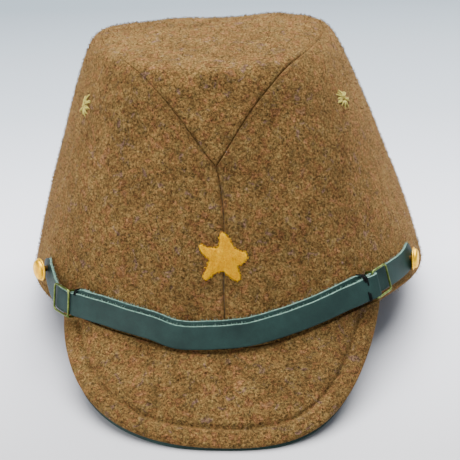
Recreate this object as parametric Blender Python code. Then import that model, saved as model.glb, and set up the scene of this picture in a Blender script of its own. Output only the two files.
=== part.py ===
"""A wool field cap: a tall tapered crown of three panels, a short sloping peak and a two-part leather chin strap.

Everything is drawn about the rim, held level: X across, -Y to the front, +Z up, in metres. The empty "cap" then
leans the cap back, as it stands by itself on the front edge of its peak and the back of its rim. Left and right
are as seen from the front.
"""

import math
from bisect import bisect_right
from collections import namedtuple

import bmesh
import bpy
from mathutils import Matrix, Vector

# The rim and the crown, from its middle line outwards
RIM_WIDTH = 0.192
RIM_FRONT = 0.0981
RIM_BACK = 0.0981
RIM_DIP = 0.0096  # how far the peak pulls the front of the rim down
RIM_LIFT_LEFT = 0.0021  # how far the soft rim is bent up beside each corner of the peak
RIM_LIFT_RIGHT = 0.0068
RIM_LIFT_TURN = math.radians(43)
RIM_LIFT_SPREAD = math.radians(30)
OVAL_POWER = 2.2  # 2 is an ellipse, and more is squarer
CROWN_HEIGHT_FRONT = 0.106
CROWN_HEIGHT_SIDE = 0.111
CROWN_HEIGHT_BACK = 0.103
TOP_WIDTH = 0.1146
TOP_FRONT = 0.0635
TOP_BACK = 0.0622
TOP_LEAN = 0.0046  # the soft crown leans this far to the left
TOP_PUFF = 0.0062
CLOTH = 0.002
FIT = 0.0003  # the gap between neighbouring pieces
DENT_DEPTH = 0.003

# The top panel's seam: how high up the wall it runs at its two points and along the sides
SEAM_POINT_FRONT = 0.665
SEAM_POINT_BACK = 0.70
SEAM_SIDE = 1.10
SEAM_SPREAD_LEFT = math.radians(22.5)
SEAM_SPREAD_RIGHT = math.radians(23.5)

# The peak
PEAK_LENGTH = 0.0443
PEAK_SLOPE = math.radians(41.8)
PEAK_BOARD = 0.0026
PEAK_LEATHER = 0.001
PEAK_CORNER_LEFT = math.radians(49.2)
PEAK_CORNER_RIGHT = math.radians(43.4)
PEAK_TUCK = 0.004  # the seam allowance under the crown's wall
PEAK_TUCK_EDGE = 0.0012
PEAK_SKEW = 0.185  # the share by which one side is longer and the other shorter
PEAK_DRIFT = 0.006  # how far the tip has been pushed to the left
PEAK_SQUARENESS = 3.97
PEAK_ROUNDING = 1.64
STANCE_PRESS = 0.0005  # how far its own weight flattens the cloth and leather that it stands on

# The chin strap: two lengths of leather, one on the other
STRAP_WIDTH = 0.0105
STRAP_LEATHER = 0.0012
STRAP_STEP = 0.0020  # how far the back length stands above the front one at the middle
STRAP_STAGE = 0.07  # about how far up the wall it lies
STRAP_TIP = 0.25  # the small flat at its round end, as a share of its width
STRAP_RAMP = 0.010  # the way that it takes from one level to the next
SLIDE_REACH_LEFT = 0.0737  # along the strap from the middle seam to the slide's inner bar
SLIDE_REACH_RIGHT = 0.0685
SLIDE_LENGTH = 0.0102
SLIDE_WIRE = 0.001
SLIDE_CORNER = 0.0012
SLIDE_ROOM = 0.0006  # between the strap's edges and the wire
FOLD_LENGTH = 0.0075
FOLD_EASE = 0.004  # the way that the fold takes to close behind its bar
BUTTON_REACH_LEFT = 0.1023  # along the strap from the middle seam to its button hole
BUTTON_REACH_RIGHT = 0.1040
STRAP_PROBE = 0.0002  # the short way over which its direction is taken
HOLE_ROOM = 0.0003

# The trims
BUTTON_DIAMETER = 0.0112
BUTTON_DOME_DIAMETER = 0.0094
BUTTON_DOME = 0.0030
BUTTON_FLANGE = 0.0008
BUTTON_ROUNDING = 0.0004
BUTTON_LIFT = 0.0028  # how far its shank holds it off the leather
SHANK_DIAMETER = 0.0026
STAR_DIAMETER = 0.0222
STAR_HEIGHT = 0.0389  # from the rim to its middle
STAR_CLOTH = 0.0009
EYELET_TURN_LEFT = math.radians(60.5)
EYELET_TURN_RIGHT = math.radians(57.5)
EYELET_RISE = 0.79
EYELET_THREAD_WIDTH = 0.0092
EYELET_HOLE = 0.0024
EYELET_THREAD = 0.0007
EYELET_BARREL = 0.0008
DRILL_REACH = 0.006

# How the cloth goes from the rim to the middle of the top. Up to 1 a stage is a share of the crown's height, and
# from 1 to 2 it crosses the top. The columns are shares: of the height, of the way from the rim's oval to the
# top's, of the way from the top's edge to its middle, and of the puff.
Level = namedtuple("Level", "stage rise inward across puff")
LEVELS = (
    Level(0.00, 0.000, 0.000, 0.000, 0.00),
    Level(0.20, 0.200, 0.164, 0.000, 0.00),
    Level(0.40, 0.400, 0.345, 0.000, 0.00),
    Level(0.60, 0.600, 0.545, 0.000, 0.00),
    Level(0.80, 0.800, 0.764, 0.000, 0.00),
    Level(0.92, 0.915, 0.903, 0.000, 0.00),
    Level(1.00, 0.982, 1.000, 0.012, 0.00),
    Level(1.07, 1.000, 1.000, 0.080, 0.08),
    Level(1.30, 1.000, 1.000, 0.330, 0.45),
    Level(1.65, 1.000, 1.000, 0.670, 0.88),
    Level(2.00, 1.000, 1.000, 1.000, 1.00),
)

# Soft dents, and where the depth is below zero soft swellings: turns and half turns in degrees, the rest in
# stages, and depths as shares of DENT_DEPTH
Dent = namedtuple("Dent", "turn stage half_turn half_stage depth")
DENTS = (
    Dent(2, 0.94, 13, 0.070, 0.70),
    Dent(-26, 0.76, 9, 0.090, 0.70),
    Dent(15, 0.76, 8, 0.120, 0.60),
    Dent(105, 1.30, 42, 0.300, -1.00),
    Dent(178, 1.15, 20, 0.160, 0.40),
    Dent(-120, 0.55, 22, 0.180, 0.60),
)

# Where the strap lies: along it from the left button to the right one, then in strap widths how far its middle has
# drifted to +X from that length along the wall, because its end turns up, and its middle's height above the rim
Rest = namedtuple("Rest", "along drift height")
STRAP_RESTS = (
    Rest(-1.05, 0.43, 1.62),
    Rest(-1.00, 0.15, 1.18),
    Rest(-0.94, 0.04, 0.87),
    Rest(-0.885, 0.00, 0.68),
    Rest(-0.84, 0.00, 0.56),
    Rest(-0.79, 0.00, 0.51),
    Rest(-0.73, 0.00, 0.57),
    Rest(-0.61, 0.00, 0.72),
    Rest(-0.325, 0.00, 0.66),
    Rest(-0.215, 0.00, 0.50),
    Rest(-0.075, 0.00, 0.52),
    Rest(0.08, 0.00, 0.57),
    Rest(0.195, 0.00, 0.69),
    Rest(0.335, 0.00, 0.79),
    Rest(0.61, 0.00, 0.85),
    Rest(0.78, 0.00, 0.84),
    Rest(0.93, 0.00, 0.90),
    Rest(1.00, 0.00, 1.00),
    Rest(1.05, 0.00, 1.14),
)

# The star's points and the corners between them: angles in degrees from the right, and shares of its radius
Corner = namedtuple("Corner", "angle reach")
STAR_CORNERS = (
    Corner(82, 0.90),
    Corner(108, 0.40),
    Corner(155, 1.08),
    Corner(190, 0.58),
    Corner(224, 1.15),
    Corner(270, 0.46),
    Corner(303, 1.06),
    Corner(331, 0.66),
    Corner(0, 1.00),
    Corner(27, 0.55),
)

UP = Vector((0, 0, 1))
TURN_STEP = math.radians(0.5)


def smooth_step(value, start, end):
    """0 before start, 1 past end and a soft rise between them, where end may also lie before start."""
    share = min(max((value - start) / (end - start), 0.0), 1.0)
    return share * share * (3 - 2 * share)


def read_table(rows, key):
    """The columns after the first of a table, on a smooth curve through its rows."""
    keys = [row[0] for row in rows]
    here = min(max(bisect_right(keys, key) - 1, 0), len(rows) - 2)
    low, high = rows[here], rows[here + 1]
    before, after = rows[max(here - 1, 0)], rows[min(here + 2, len(rows) - 1)]
    span = high[0] - low[0]
    share = min(max((key - low[0]) / span, 0.0), 1.0)
    values = []
    for column in range(1, len(low)):
        slope_low = (high[column] - before[column]) / (high[0] - before[0]) * span
        slope_high = (after[column] - low[column]) / (after[0] - low[0]) * span
        rise = high[column] - low[column]
        values.append(
            low[column]
            + slope_low * share
            + (3 * rise - 2 * slope_low - slope_high) * share**2
            + (slope_low + slope_high - 2 * rise) * share**3
        )
    return values


def oval(turn, width, front, back):
    """A point of a level oval. The turn is 0 at the front and grows towards +X."""
    across, ahead = math.sin(turn), math.cos(turn)
    across = math.copysign(abs(across) ** (2 / OVAL_POWER), across)
    ahead = math.copysign(abs(ahead) ** (2 / OVAL_POWER), ahead)
    return Vector((width / 2 * across, -(front if ahead > 0 else back) * ahead, 0))


def rim_level(turn):
    level = -RIM_DIP * max(math.cos(turn), 0) ** 2
    for corner, lift in ((-RIM_LIFT_TURN, RIM_LIFT_LEFT), (RIM_LIFT_TURN, RIM_LIFT_RIGHT)):
        apart = math.remainder(turn - corner, 2 * math.pi)
        level += lift * math.exp(-((apart / RIM_LIFT_SPREAD) ** 2))
    return level


def top_level(turn):
    end_height = CROWN_HEIGHT_FRONT if math.cos(turn) > 0 else CROWN_HEIGHT_BACK
    return CROWN_HEIGHT_SIDE + (end_height - CROWN_HEIGHT_SIDE) * math.cos(turn) ** 2


def dent_depth(turn, stage):
    depth = 0.0
    for dent in DENTS:
        apart = (math.degrees(turn) - dent.turn + 180) % 360 - 180
        depth += dent.depth * math.exp(
            -((apart / dent.half_turn) ** 2) - ((stage - dent.stage) / dent.half_stage) ** 2
        )
    return DENT_DEPTH * depth


def crown_skin(turn, stage):
    """A point of the crown's outer face."""
    rise, inward, across, puff = read_table(LEVELS, stage)
    rim = oval(turn, RIM_WIDTH, RIM_FRONT, RIM_BACK)
    top = oval(turn, TOP_WIDTH, TOP_FRONT, TOP_BACK)
    point = rim.lerp(top, inward) * (1 - across)
    point.x -= TOP_LEAN * rise**1.3
    edge = rim_level(turn) * (1 - rise) + top_level(turn) * rise
    point.z = edge * (1 - across) + CROWN_HEIGHT_SIDE * across + TOP_PUFF * puff
    over_top = smooth_step(stage, 0.9, 1.15)
    outwards = Vector((math.sin(turn), -math.cos(turn), 0)).lerp(UP, over_top)
    fade_at_middle = 1 - smooth_step(stage, 1.6, 2.0)
    return point - outwards * dent_depth(turn, stage) * fade_at_middle


def crown_frame(turn, stage):
    """A point of the crown's outer face, with the directions around it, up it and out of it."""
    step = 1e-3
    point = crown_skin(turn, stage)
    if stage > 2 - step:
        return point, Vector((1, 0, 0)), Vector((0, 1, 0)), UP.copy()
    # Near the front and back middle the oval's own curve is too flat to be measured from one side
    around = crown_skin(turn + step, stage) - crown_skin(turn - step, stage)
    low = max(stage - step, 0.0)
    upwards = crown_skin(turn, stage + step) - crown_skin(turn, low)
    around.normalize()
    upwards.normalize()
    return point, around, upwards, around.cross(upwards).normalized()


def seam_stage(turn):
    """How far up the crown the top panel's seam runs. It drops to a point at the front and at the back."""
    apart = abs(turn)
    spread = SEAM_SPREAD_LEFT if turn < 0 else SEAM_SPREAD_RIGHT
    drop_front = (SEAM_SIDE - SEAM_POINT_FRONT) * math.exp(-apart / spread)
    drop_back = (SEAM_SIDE - SEAM_POINT_BACK) * math.exp(-(math.pi - apart) / spread)
    return SEAM_SIDE - drop_front - drop_back


def peak_length(share):
    """The peak's length down its slope. The share is -1 and 1 at its corners."""
    outline = max(1 - abs(share) ** PEAK_SQUARENESS, 0.0) ** (1 / PEAK_ROUNDING)
    return PEAK_LENGTH * outline * (1 + PEAK_SKEW * share)


def peak_frame(share):
    """Where the peak leaves the rim, with the directions into the cap, down the peak and out of its upper face."""
    turn = share * (PEAK_CORNER_LEFT if share < 0 else PEAK_CORNER_RIGHT)
    point, around, _, out = crown_frame(turn, 0.0)
    inwards = -Vector((out.x, out.y, 0)).normalized()
    down = Vector((-PEAK_DRIFT / PEAK_LENGTH, -math.cos(PEAK_SLOPE), -math.sin(PEAK_SLOPE))).normalized()
    return point - UP * FIT, inwards, down, down.cross(around).normalized()


def stance():
    """The matrix that leans the level cap back onto its peak's front edge and the back of its rim."""
    lean = 0.0
    for step in range(-20, 21):
        share = step / 20 * 0.9
        point, _, down, out = peak_frame(share)
        low = point + down * peak_length(share) - out * (PEAK_BOARD + FIT + PEAK_LEATHER)
        lean = max(lean, math.atan2(-low.z, RIM_BACK - low.y))
    turned = Matrix.Rotation(-lean, 4, "X")
    heel = turned @ Vector((0, RIM_BACK, 0))
    return Matrix.Translation((0, 0, -heel.z - STANCE_PRESS)) @ turned


STANCE = stance()
STANCE_BACK = STANCE.inverted()


def settle(point):
    """Presses a point of cloth or leather flat against the surface that the cap stands on."""
    standing = STANCE @ point
    standing.z = max(standing.z, 0.0)
    return STANCE_BACK @ standing


def wall_lengths():
    """The distance along the foot of the wall from the middle seam, at each of a row of turns."""
    lengths = [(0.0, 0.0)]
    last = crown_skin(0.0, STRAP_STAGE)
    for step in range(1, 241):
        turn = TURN_STEP * step
        here = crown_skin(turn, STRAP_STAGE)
        lengths.append((lengths[-1][0] + (here - last).length, turn))
        last = here
    return lengths


WALL_LENGTHS = wall_lengths()


def wall_place(along, height, lift, off):
    """A point on or over the wall: along it from the middle seam and above the rim, then up and out from there."""
    turn = math.copysign(read_table(WALL_LENGTHS, abs(along))[0], along)
    stage = height / (top_level(turn) - rim_level(turn))
    point, _, upwards, out = crown_frame(turn, stage)
    return point + upwards * lift + out * off


def wall_matrix(turn, stage, off):
    """A place on the wall as a matrix, with Z out of the wall and Y up it."""
    point, around, upwards, out = crown_frame(turn, stage)
    across = upwards.cross(out).normalized()
    axes = Matrix((across, out.cross(across), out)).transposed()
    return Matrix.Translation(point + out * off) @ axes.to_4x4()


def strap_middle(along):
    """The strap's middle line as lengths along the wall and above the rim."""
    reach = BUTTON_REACH_LEFT if along < 0 else BUTTON_REACH_RIGHT
    drift, height = read_table(STRAP_RESTS, along / reach)
    return Vector((along + drift * STRAP_WIDTH, height * STRAP_WIDTH))


def strap_place(along, edge, off):
    """A point on or over the strap: along it, across it from its middle line, and out from the wall."""
    middle = strap_middle(along)
    way = (strap_middle(along + STRAP_PROBE) - strap_middle(along - STRAP_PROBE)).normalized()
    return wall_place(middle.x - way.y * edge, middle.y, way.x * edge, off)


# How far out from the wall the two lengths of the strap lie, each measured to the middle of its leather
LOW = FIT + STRAP_LEATHER / 2
LAYER = STRAP_LEATHER + FIT
FOLD_WIDTH = SLIDE_WIRE + 2 * FIT + STRAP_LEATHER  # between the two runs of a fold, at the bar in it
BAR_LEFT = -SLIDE_REACH_LEFT
BAR_RIGHT = SLIDE_REACH_RIGHT
WIRE_OVER_LEATHER = STRAP_LEATHER / 2 + FIT + SLIDE_WIRE / 2


def back_off(along):
    """The back length lies on its own flap at the left slide and on the slide's rear bar at the right one."""
    on_flap = LAYER * (1 - smooth_step(along, BAR_LEFT + FOLD_LENGTH, BAR_LEFT + FOLD_LENGTH + STRAP_RAMP))
    round_bar = (FOLD_WIDTH - LAYER) * (1 - smooth_step(along, BAR_LEFT + SLIDE_WIRE, BAR_LEFT + SLIDE_WIRE + FOLD_EASE))
    to_rear_bar = smooth_step(along, BAR_RIGHT - FOLD_LENGTH - STRAP_RAMP, BAR_RIGHT - SLIDE_WIRE)
    from_rear_bar = 1 - smooth_step(along, BAR_RIGHT + SLIDE_WIRE, BUTTON_REACH_RIGHT - SHANK_DIAMETER)
    return LOW + on_flap + round_bar + (SLIDE_WIRE + FIT) * to_rear_bar * from_rear_bar


def front_off(along):
    """The front length lies on the back one, and at the right slide on its own flap."""
    on_back = smooth_step(along, -BUTTON_REACH_LEFT + SHANK_DIAMETER, BAR_LEFT - SHANK_DIAMETER)
    back_there = back_off(max(along, BAR_LEFT)) + LAYER
    on_flap = LAYER * smooth_step(along, BAR_RIGHT - FOLD_LENGTH - STRAP_RAMP, BAR_RIGHT - FOLD_LENGTH)
    round_bar = (FOLD_WIDTH - LAYER) * smooth_step(along, BAR_RIGHT - SLIDE_WIRE - FOLD_EASE, BAR_RIGHT - SLIDE_WIRE)
    return LOW + (back_there - LOW) * on_back + on_flap + round_bar


def back_lift(along):
    """The back length stands a little above the front one between the slides."""
    left = smooth_step(along, BAR_LEFT + FOLD_LENGTH, BAR_LEFT + FOLD_LENGTH + 2 * STRAP_RAMP)
    right = 1 - smooth_step(along, BAR_RIGHT - FOLD_LENGTH - 2 * STRAP_RAMP, BAR_RIGHT - FOLD_LENGTH)
    return STRAP_STEP * left * right


def new_material(name, color, roughness, metallic=0.0):
    material = bpy.data.materials.new(name)
    material.use_nodes = True
    shader = material.node_tree.nodes["Principled BSDF"]
    shader.inputs["Base Color"].default_value = (*color, 1)
    shader.inputs["Roughness"].default_value = roughness
    shader.inputs["Metallic"].default_value = metallic
    material.diffuse_color = (*color, 1)
    return material


def new_piece(name, points, faces, material, place=None):
    """A mesh object under the empty "cap", with its faces turned outwards."""
    mesh = bpy.data.meshes.new(name)
    mesh.from_pydata([tuple(point) for point in points], [], faces)
    work = bmesh.new()
    work.from_mesh(mesh)
    bmesh.ops.recalc_face_normals(work, faces=work.faces)
    work.to_mesh(mesh)
    work.free()
    mesh.shade_smooth()
    mesh.set_sharp_from_angle(angle=math.radians(40))
    mesh.materials.append(material)
    piece = bpy.data.objects.new(name, mesh)
    bpy.context.scene.collection.objects.link(piece)
    piece.parent = cap
    if place:
        piece.matrix_local = place
    return piece


def ring_faces(rings, sides, closed):
    """Quads between neighbouring rings of points, where the rings themselves are closed."""
    faces = []
    for ring in range(rings if closed else rings - 1):
        start, following = ring * sides, (ring + 1) % rings * sides
        for side in range(sides):
            beside = (side + 1) % sides
            faces.append((start + side, start + beside, following + beside, following + side))
    if not closed:
        faces.append(tuple(reversed(range(sides))))
        faces.append(tuple(range((rings - 1) * sides, rings * sides)))
    return faces


def turned_piece(name, profile, sides, material, place, closed=False):
    """A shape turned about its own Z from (radius, height) pairs, which end on the axis unless closed is set."""
    points, faces = [], []
    rows = []
    for radius, height in profile:
        if radius == 0:
            rows.append([len(points)])
            points.append((0, 0, height))
            continue
        rows.append(list(range(len(points), len(points) + sides)))
        for side in range(sides):
            angle = 2 * math.pi * side / sides
            points.append((radius * math.cos(angle), radius * math.sin(angle), height))
    pairs = list(zip(rows, rows[1:] + rows[:1])) if closed else list(zip(rows, rows[1:]))
    for low, high in pairs:
        for side in range(sides):
            beside = (side + 1) % sides
            corners = [low[side % len(low)], low[beside % len(low)]]
            corners += [high[beside % len(high)], high[side % len(high)]]
            faces.append(tuple(dict.fromkeys(corners)))
    return new_piece(name, points, faces, material, place)


def drill(piece, name, diameter, place):
    """Cuts a round hole along Z of the place right through the piece."""
    radius = diameter / 2
    profile = ((0, -DRILL_REACH), (radius, -DRILL_REACH), (radius, DRILL_REACH), (0, DRILL_REACH))
    cutter = turned_piece(name, profile, 16, thread, place)
    cutter.hide_render = True
    cutter.display_type = "WIRE"
    cut = piece.modifiers.new(name, "BOOLEAN")
    cut.operation = "DIFFERENCE"
    cut.object = cutter


for leftover in list(bpy.data.objects):
    bpy.data.objects.remove(leftover)

wool = new_material("heathered wool cloth", (0.26, 0.14, 0.05), 0.95)
green_leather = new_material("dark green leather", (0.03, 0.075, 0.075), 0.45)
brass_wire = new_material("brass wire", (0.36, 0.40, 0.16), 0.35, 1.0)
gilt = new_material("gilt brass", (0.85, 0.50, 0.15), 0.3, 1.0)
yellow_cloth = new_material("yellow star cloth", (0.90, 0.48, 0.02), 0.9)
thread = new_material("olive thread", (0.50, 0.42, 0.16), 0.9)

cap = bpy.data.objects.new("cap", None)
bpy.context.scene.collection.objects.link(cap)
cap.matrix_world = STANCE


# The turns at which the cloth panels have their columns, closer together near the two points of the top panel
def panel_turns():
    half_seam = math.asin((FIT / TOP_WIDTH) ** (OVAL_POWER / 2))
    near = [math.radians(turn) for turn in (3, 6, 9.5, 13.5, 18, 23, 29, 36)]
    count = 13
    sides = [math.radians(36 + (180 - 72) * step / count) for step in range(1, count)]
    return [half_seam] + near + sides + [math.pi - turn for turn in reversed(near)] + [math.pi - half_seam]


def side_panel(name, hand):
    """One of the two side panels, from the front seam to the back one."""
    rows = 11
    outer, inner = [], []
    turns = [hand * turn for turn in panel_turns()]
    for turn in turns:
        upper = seam_stage(turn) - FIT / CROWN_HEIGHT_SIDE
        for row in range(rows + 1):
            point, _, _, out = crown_frame(turn, upper * row / rows)
            if row == 0:
                out = Vector((out.x, out.y, 0)).normalized()
            outer.append(settle(point))
            inner.append(settle(point - out * CLOTH))
    return cloth_shell(name, outer, inner, len(turns), rows + 1)


def cloth_shell(name, outer, inner, columns, height):
    """A panel of cloth from two grids of points, closed along its four edges."""
    faces = []
    back = len(outer)
    for column in range(columns - 1):
        for row in range(height - 1):
            corner = column * height + row
            quad = (corner, corner + height, corner + height + 1, corner + 1)
            faces.append(quad)
            faces.append(tuple(back + point for point in reversed(quad)))
    edge = [column * height for column in range(columns)]
    edge += [(columns - 1) * height + row for row in range(1, height)]
    edge += [column * height + height - 1 for column in range(columns - 2, -1, -1)]
    edge += [row for row in range(height - 2, 0, -1)]
    for here, there in zip(edge, edge[1:] + edge[:1]):
        faces.append((here, back + here, back + there, there))
    return new_piece(name, outer + inner, faces, wool)


def top_panel():
    """The leaf-shaped top, in rows from its seam to its middle."""
    shares = (0, 0.04, 0.10, 0.17, 0.235, 0.30, 0.40, 0.55, 0.76)
    side = panel_turns()[1:-1]
    turns = [0.0] + side + [math.pi] + [-turn for turn in reversed(side)]
    columns = len(turns)
    points = []
    for face in (0.0, CLOTH):
        for share in shares:
            for turn in turns:
                lower = seam_stage(turn) + FIT / CROWN_HEIGHT_SIDE
                point, _, _, out = crown_frame(turn, lower + (2 - lower) * share)
                points.append(point - out * face)
        point, _, _, out = crown_frame(0.0, 2.0)
        points.append(point - out * face)
    back = len(shares) * columns + 1
    faces = []
    for column in range(columns):
        beside = (column + 1) % columns
        for row in range(len(shares) - 1):
            low, high = row * columns, (row + 1) * columns
            quad = (low + column, low + beside, high + beside, high + column)
            faces.append(quad)
            faces.append(tuple(back + point for point in reversed(quad)))
        last = (len(shares) - 1) * columns
        faces.append((last + column, last + beside, back - 1))
        faces.append((back + last + beside, back + last + column, 2 * back - 1))
        faces.append((column, back + column, back + beside, beside))
    return new_piece("crown_top", points, faces, wool)


crown_left = side_panel("crown_side_left", -1)
crown_right = side_panel("crown_side_right", 1)
top_panel()


def peak_shares(end):
    """Shares across the peak, closer together towards its corners."""
    steps, widest = 30, math.radians(80)
    turns = [widest * (2 * step / steps - 1) for step in range(steps + 1)]
    return [end * math.sin(turn) / math.sin(widest) for turn in turns]


def peak_board():
    """The stiffened cloth of the peak: tucked under the wall, down the slope, and round its soft front edge."""
    points = []
    shares = peak_shares(0.996)
    for share in shares:
        root, inwards, down, out = peak_frame(share)
        length = peak_length(share)
        nose = min(PEAK_BOARD / 2, length * 0.4)
        flat = length - nose
        ring = [root + inwards * PEAK_TUCK, root]
        ring += [root + down * flat * row / 4 for row in (1, 2, 3)]
        middle = root + down * flat - out * PEAK_BOARD / 2
        for step in range(7):
            angle = math.pi / 2 - math.pi * step / 6
            ring.append(middle + down * nose * math.cos(angle) + out * PEAK_BOARD / 2 * math.sin(angle))
        ring += [root + down * flat * row / 4 - out * PEAK_BOARD for row in (3, 2, 1, 0)]
        ring.append(root + inwards * PEAK_TUCK - UP * PEAK_TUCK_EDGE)
        points += [settle(point) for point in ring]
    sides = len(points) // len(shares)
    return new_piece("peak", points, ring_faces(len(shares), sides, False), wool)


def peak_underside():
    """The leather under the peak, which ends level with the cloth's front edge."""
    points = []
    shares = peak_shares(0.975)
    start = PEAK_BOARD / 2
    for share in shares:
        root, _, down, out = peak_frame(share)
        end = peak_length(share) - PEAK_BOARD / 6
        rows = [root + down * (start + (end - start) * row / 4) for row in range(5)]
        upper = [point - out * (PEAK_BOARD + FIT) for point in rows]
        lower = [point - out * (PEAK_BOARD + FIT + PEAK_LEATHER) for point in reversed(rows)]
        points += [settle(point) for point in upper + lower]
    return new_piece("peak_underside", points, ring_faces(len(shares), 10, False), green_leather)


peak_board()
peak_underside()


def strap_run(start, bar, off_at):
    """The middle of a strap's leather as (along, off) pairs, from its button end round the bar to its flap's end."""
    ahead = math.copysign(1, bar - start)
    count = math.ceil(abs(bar - start) / (STRAP_RAMP / 3))
    stations = [start + (bar - start) * step / count for step in range(count + 1)]
    path = [(along, off_at(along)) for along in stations]
    radius = FOLD_WIDTH / 2
    for step in range(1, 8):
        angle = math.pi * step / 8
        off = off_at(bar) - radius + radius * math.cos(angle)
        path.append((bar + ahead * radius * math.sin(angle), off))
    low = off_at(bar) - FOLD_WIDTH
    path += [(bar - ahead * FOLD_LENGTH * step / 3, low) for step in range(4)]
    return path


def strap(name, start, bar, off_at, lift_at):
    """A length of strap, round at its button end and folded round the bar at its other end."""
    path = strap_run(start, bar, off_at)
    points = []
    for index, (along, off) in enumerate(path):
        before, after = path[max(index - 1, 0)], path[min(index + 1, len(path) - 1)]
        ahead, outwards = after[0] - before[0], after[1] - before[1]
        length = math.hypot(ahead, outwards)
        side = STRAP_LEATHER / 2 * math.copysign(1, bar - start) / length
        from_end = abs(along - start) if index < len(path) // 2 else STRAP_WIDTH
        half = strap_half_width(from_end)
        lift = lift_at(along)
        upper = (along - outwards * side, off + ahead * side)
        lower = (along + outwards * side, off - ahead * side)
        for face, edge in ((upper, -half), (upper, half), (lower, half), (lower, -half)):
            points.append(strap_place(face[0], lift + edge, face[1]))
    return new_piece(name, points, ring_faces(len(path), 4, False), green_leather)


def strap_half_width(from_end):
    """The strap's end is round about the middle of its button hole, with a small flat left at its tip."""
    half = STRAP_WIDTH / 2
    short = max(half - from_end, 0.0)
    return math.sqrt(max(half**2 - short**2, (half * STRAP_TIP) ** 2))


def slide(name, bar, ahead, front_bar_off, outer_bar_off, rear_bar_off):
    """A wire slide: a frame over the strap, and behind the strap a rear bar under the frame's inner bar."""
    edge = STRAP_WIDTH / 2 + SLIDE_ROOM + SLIDE_WIRE / 2
    outer = bar + ahead * SLIDE_LENGTH
    inner_low, inner_high = (strap_place(bar, lift, front_bar_off) for lift in (-edge, edge))
    outer_low, outer_high = (strap_place(outer, lift, outer_bar_off) for lift in (-edge, edge))
    rear_low, rear_high = (strap_place(bar, lift, rear_bar_off) for lift in (-edge, edge))
    frame = wire_mesh([inner_low, inner_high, outer_high, outer_low], True)
    from_low = corner_middle(inner_low, inner_high, outer_low)
    from_high = corner_middle(inner_high, inner_low, outer_high)
    hook = wire_mesh([from_low, rear_low, rear_high, from_high], False)
    piece = new_piece(name, *frame, brass_wire)
    staple = new_piece(name + "_staple", *hook, brass_wire)
    staple.hide_render = True
    staple.display_type = "WIRE"
    union = piece.modifiers.new("rear bar", "BOOLEAN")
    union.operation = "UNION"
    union.object = staple
    return piece


def corner_middle(corner, one, other):
    """The middle of a frame's rounded corner."""
    return corner + ((one - corner).normalized() + (other - corner).normalized()) * SLIDE_CORNER / 4


def rounded_path(corners, closed):
    """A wire's middle line through its corners, each turned with the slide's corner radius."""
    path = []
    count = len(corners)
    for index, corner in enumerate(corners):
        if not closed and index in (0, count - 1):
            path.append(corner)
            continue
        to_last = corners[index - 1] - corner
        to_next = corners[(index + 1) % count] - corner
        radius = min(SLIDE_CORNER, to_last.length * 0.3, to_next.length * 0.3)
        first, last = corner + to_last.normalized() * radius, corner + to_next.normalized() * radius
        for step in range(4):
            share = step / 3
            path.append(first * (1 - share) ** 2 + corner * 2 * share * (1 - share) + last * share**2)
    return path


def wire_mesh(corners, closed):
    """A six-sided wire along the corners' path, as points and faces."""
    sides = 6
    path = rounded_path(corners, closed)
    plane = (corners[1] - corners[0]).cross(corners[2] - corners[1]).normalized()
    points = []
    for index, point in enumerate(path):
        before = path[index - 1] if closed or index else point
        after = path[(index + 1) % len(path)] if closed or index < len(path) - 1 else point
        beside = plane.cross((after - before).normalized()).normalized()
        for side in range(sides):
            angle = 2 * math.pi * (side + 0.5) / sides
            points.append(point + (plane * math.cos(angle) + beside * math.sin(angle)) * SLIDE_WIRE / 2)
    return points, ring_faces(len(path), sides, closed)


def button_place(hand, off):
    """The middle of a button hole, as a matrix with Z out of the strap."""
    along = -BUTTON_REACH_LEFT if hand < 0 else BUTTON_REACH_RIGHT
    middle = strap_place(along, 0, off)
    across = (strap_place(along + SHANK_DIAMETER, 0, off) - middle).normalized()
    upwards = (strap_place(along, SHANK_DIAMETER, off) - middle).normalized()
    out = across.cross(upwards).normalized()
    axes = Matrix((across, out.cross(across), out)).transposed()
    return Matrix.Translation(middle) @ axes.to_4x4()


def button(name, hand):
    """A domed button with a flat flange, whose shank goes through the strap to the cloth."""
    seat = 2 * FIT + STRAP_LEATHER + BUTTON_LIFT
    radius, shank, dome = BUTTON_DIAMETER / 2, SHANK_DIAMETER / 2, BUTTON_DOME_DIAMETER / 2
    profile = [(0, FIT), (shank, FIT), (shank, seat), (radius - BUTTON_ROUNDING, seat)]
    profile += [(radius, seat + BUTTON_FLANGE / 2), (radius - BUTTON_ROUNDING, seat + BUTTON_FLANGE)]
    foot = seat + BUTTON_FLANGE * 0.8
    for step in range(4):
        angle = math.pi / 2 * step / 4
        profile.append((dome * math.cos(angle), foot + BUTTON_DOME * math.sin(angle)))
    profile.append((0, foot + BUTTON_DOME))
    return turned_piece(name, profile, 20, gilt, button_place(hand, 0))


END_LEFT = -BUTTON_REACH_LEFT - STRAP_WIDTH / 2
END_RIGHT = BUTTON_REACH_RIGHT + STRAP_WIDTH / 2
strap_front = strap("strap_front", END_LEFT, BAR_RIGHT, front_off, lambda along: 0.0)
strap_back = strap("strap_back", END_RIGHT, BAR_LEFT, back_off, back_lift)
for length, hand in ((strap_front, -1), (strap_back, 1)):
    drill(length, length.name + "_hole", SHANK_DIAMETER + 2 * HOLE_ROOM, button_place(hand, LOW))
button("button_left", -1)
button("button_right", 1)
slide(
    "slide_left",
    BAR_LEFT,
    -1,
    front_off(BAR_LEFT) + WIRE_OVER_LEATHER,
    front_off(BAR_LEFT - SLIDE_LENGTH) + WIRE_OVER_LEATHER + FIT,
    back_off(BAR_LEFT) - FOLD_WIDTH / 2,
)
slide(
    "slide_right",
    BAR_RIGHT,
    1,
    front_off(BAR_RIGHT) - FOLD_WIDTH / 2,
    back_off(BAR_RIGHT + SLIDE_LENGTH) + WIRE_OVER_LEATHER + FIT,
    FIT + SLIDE_WIRE / 2,
)


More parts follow.
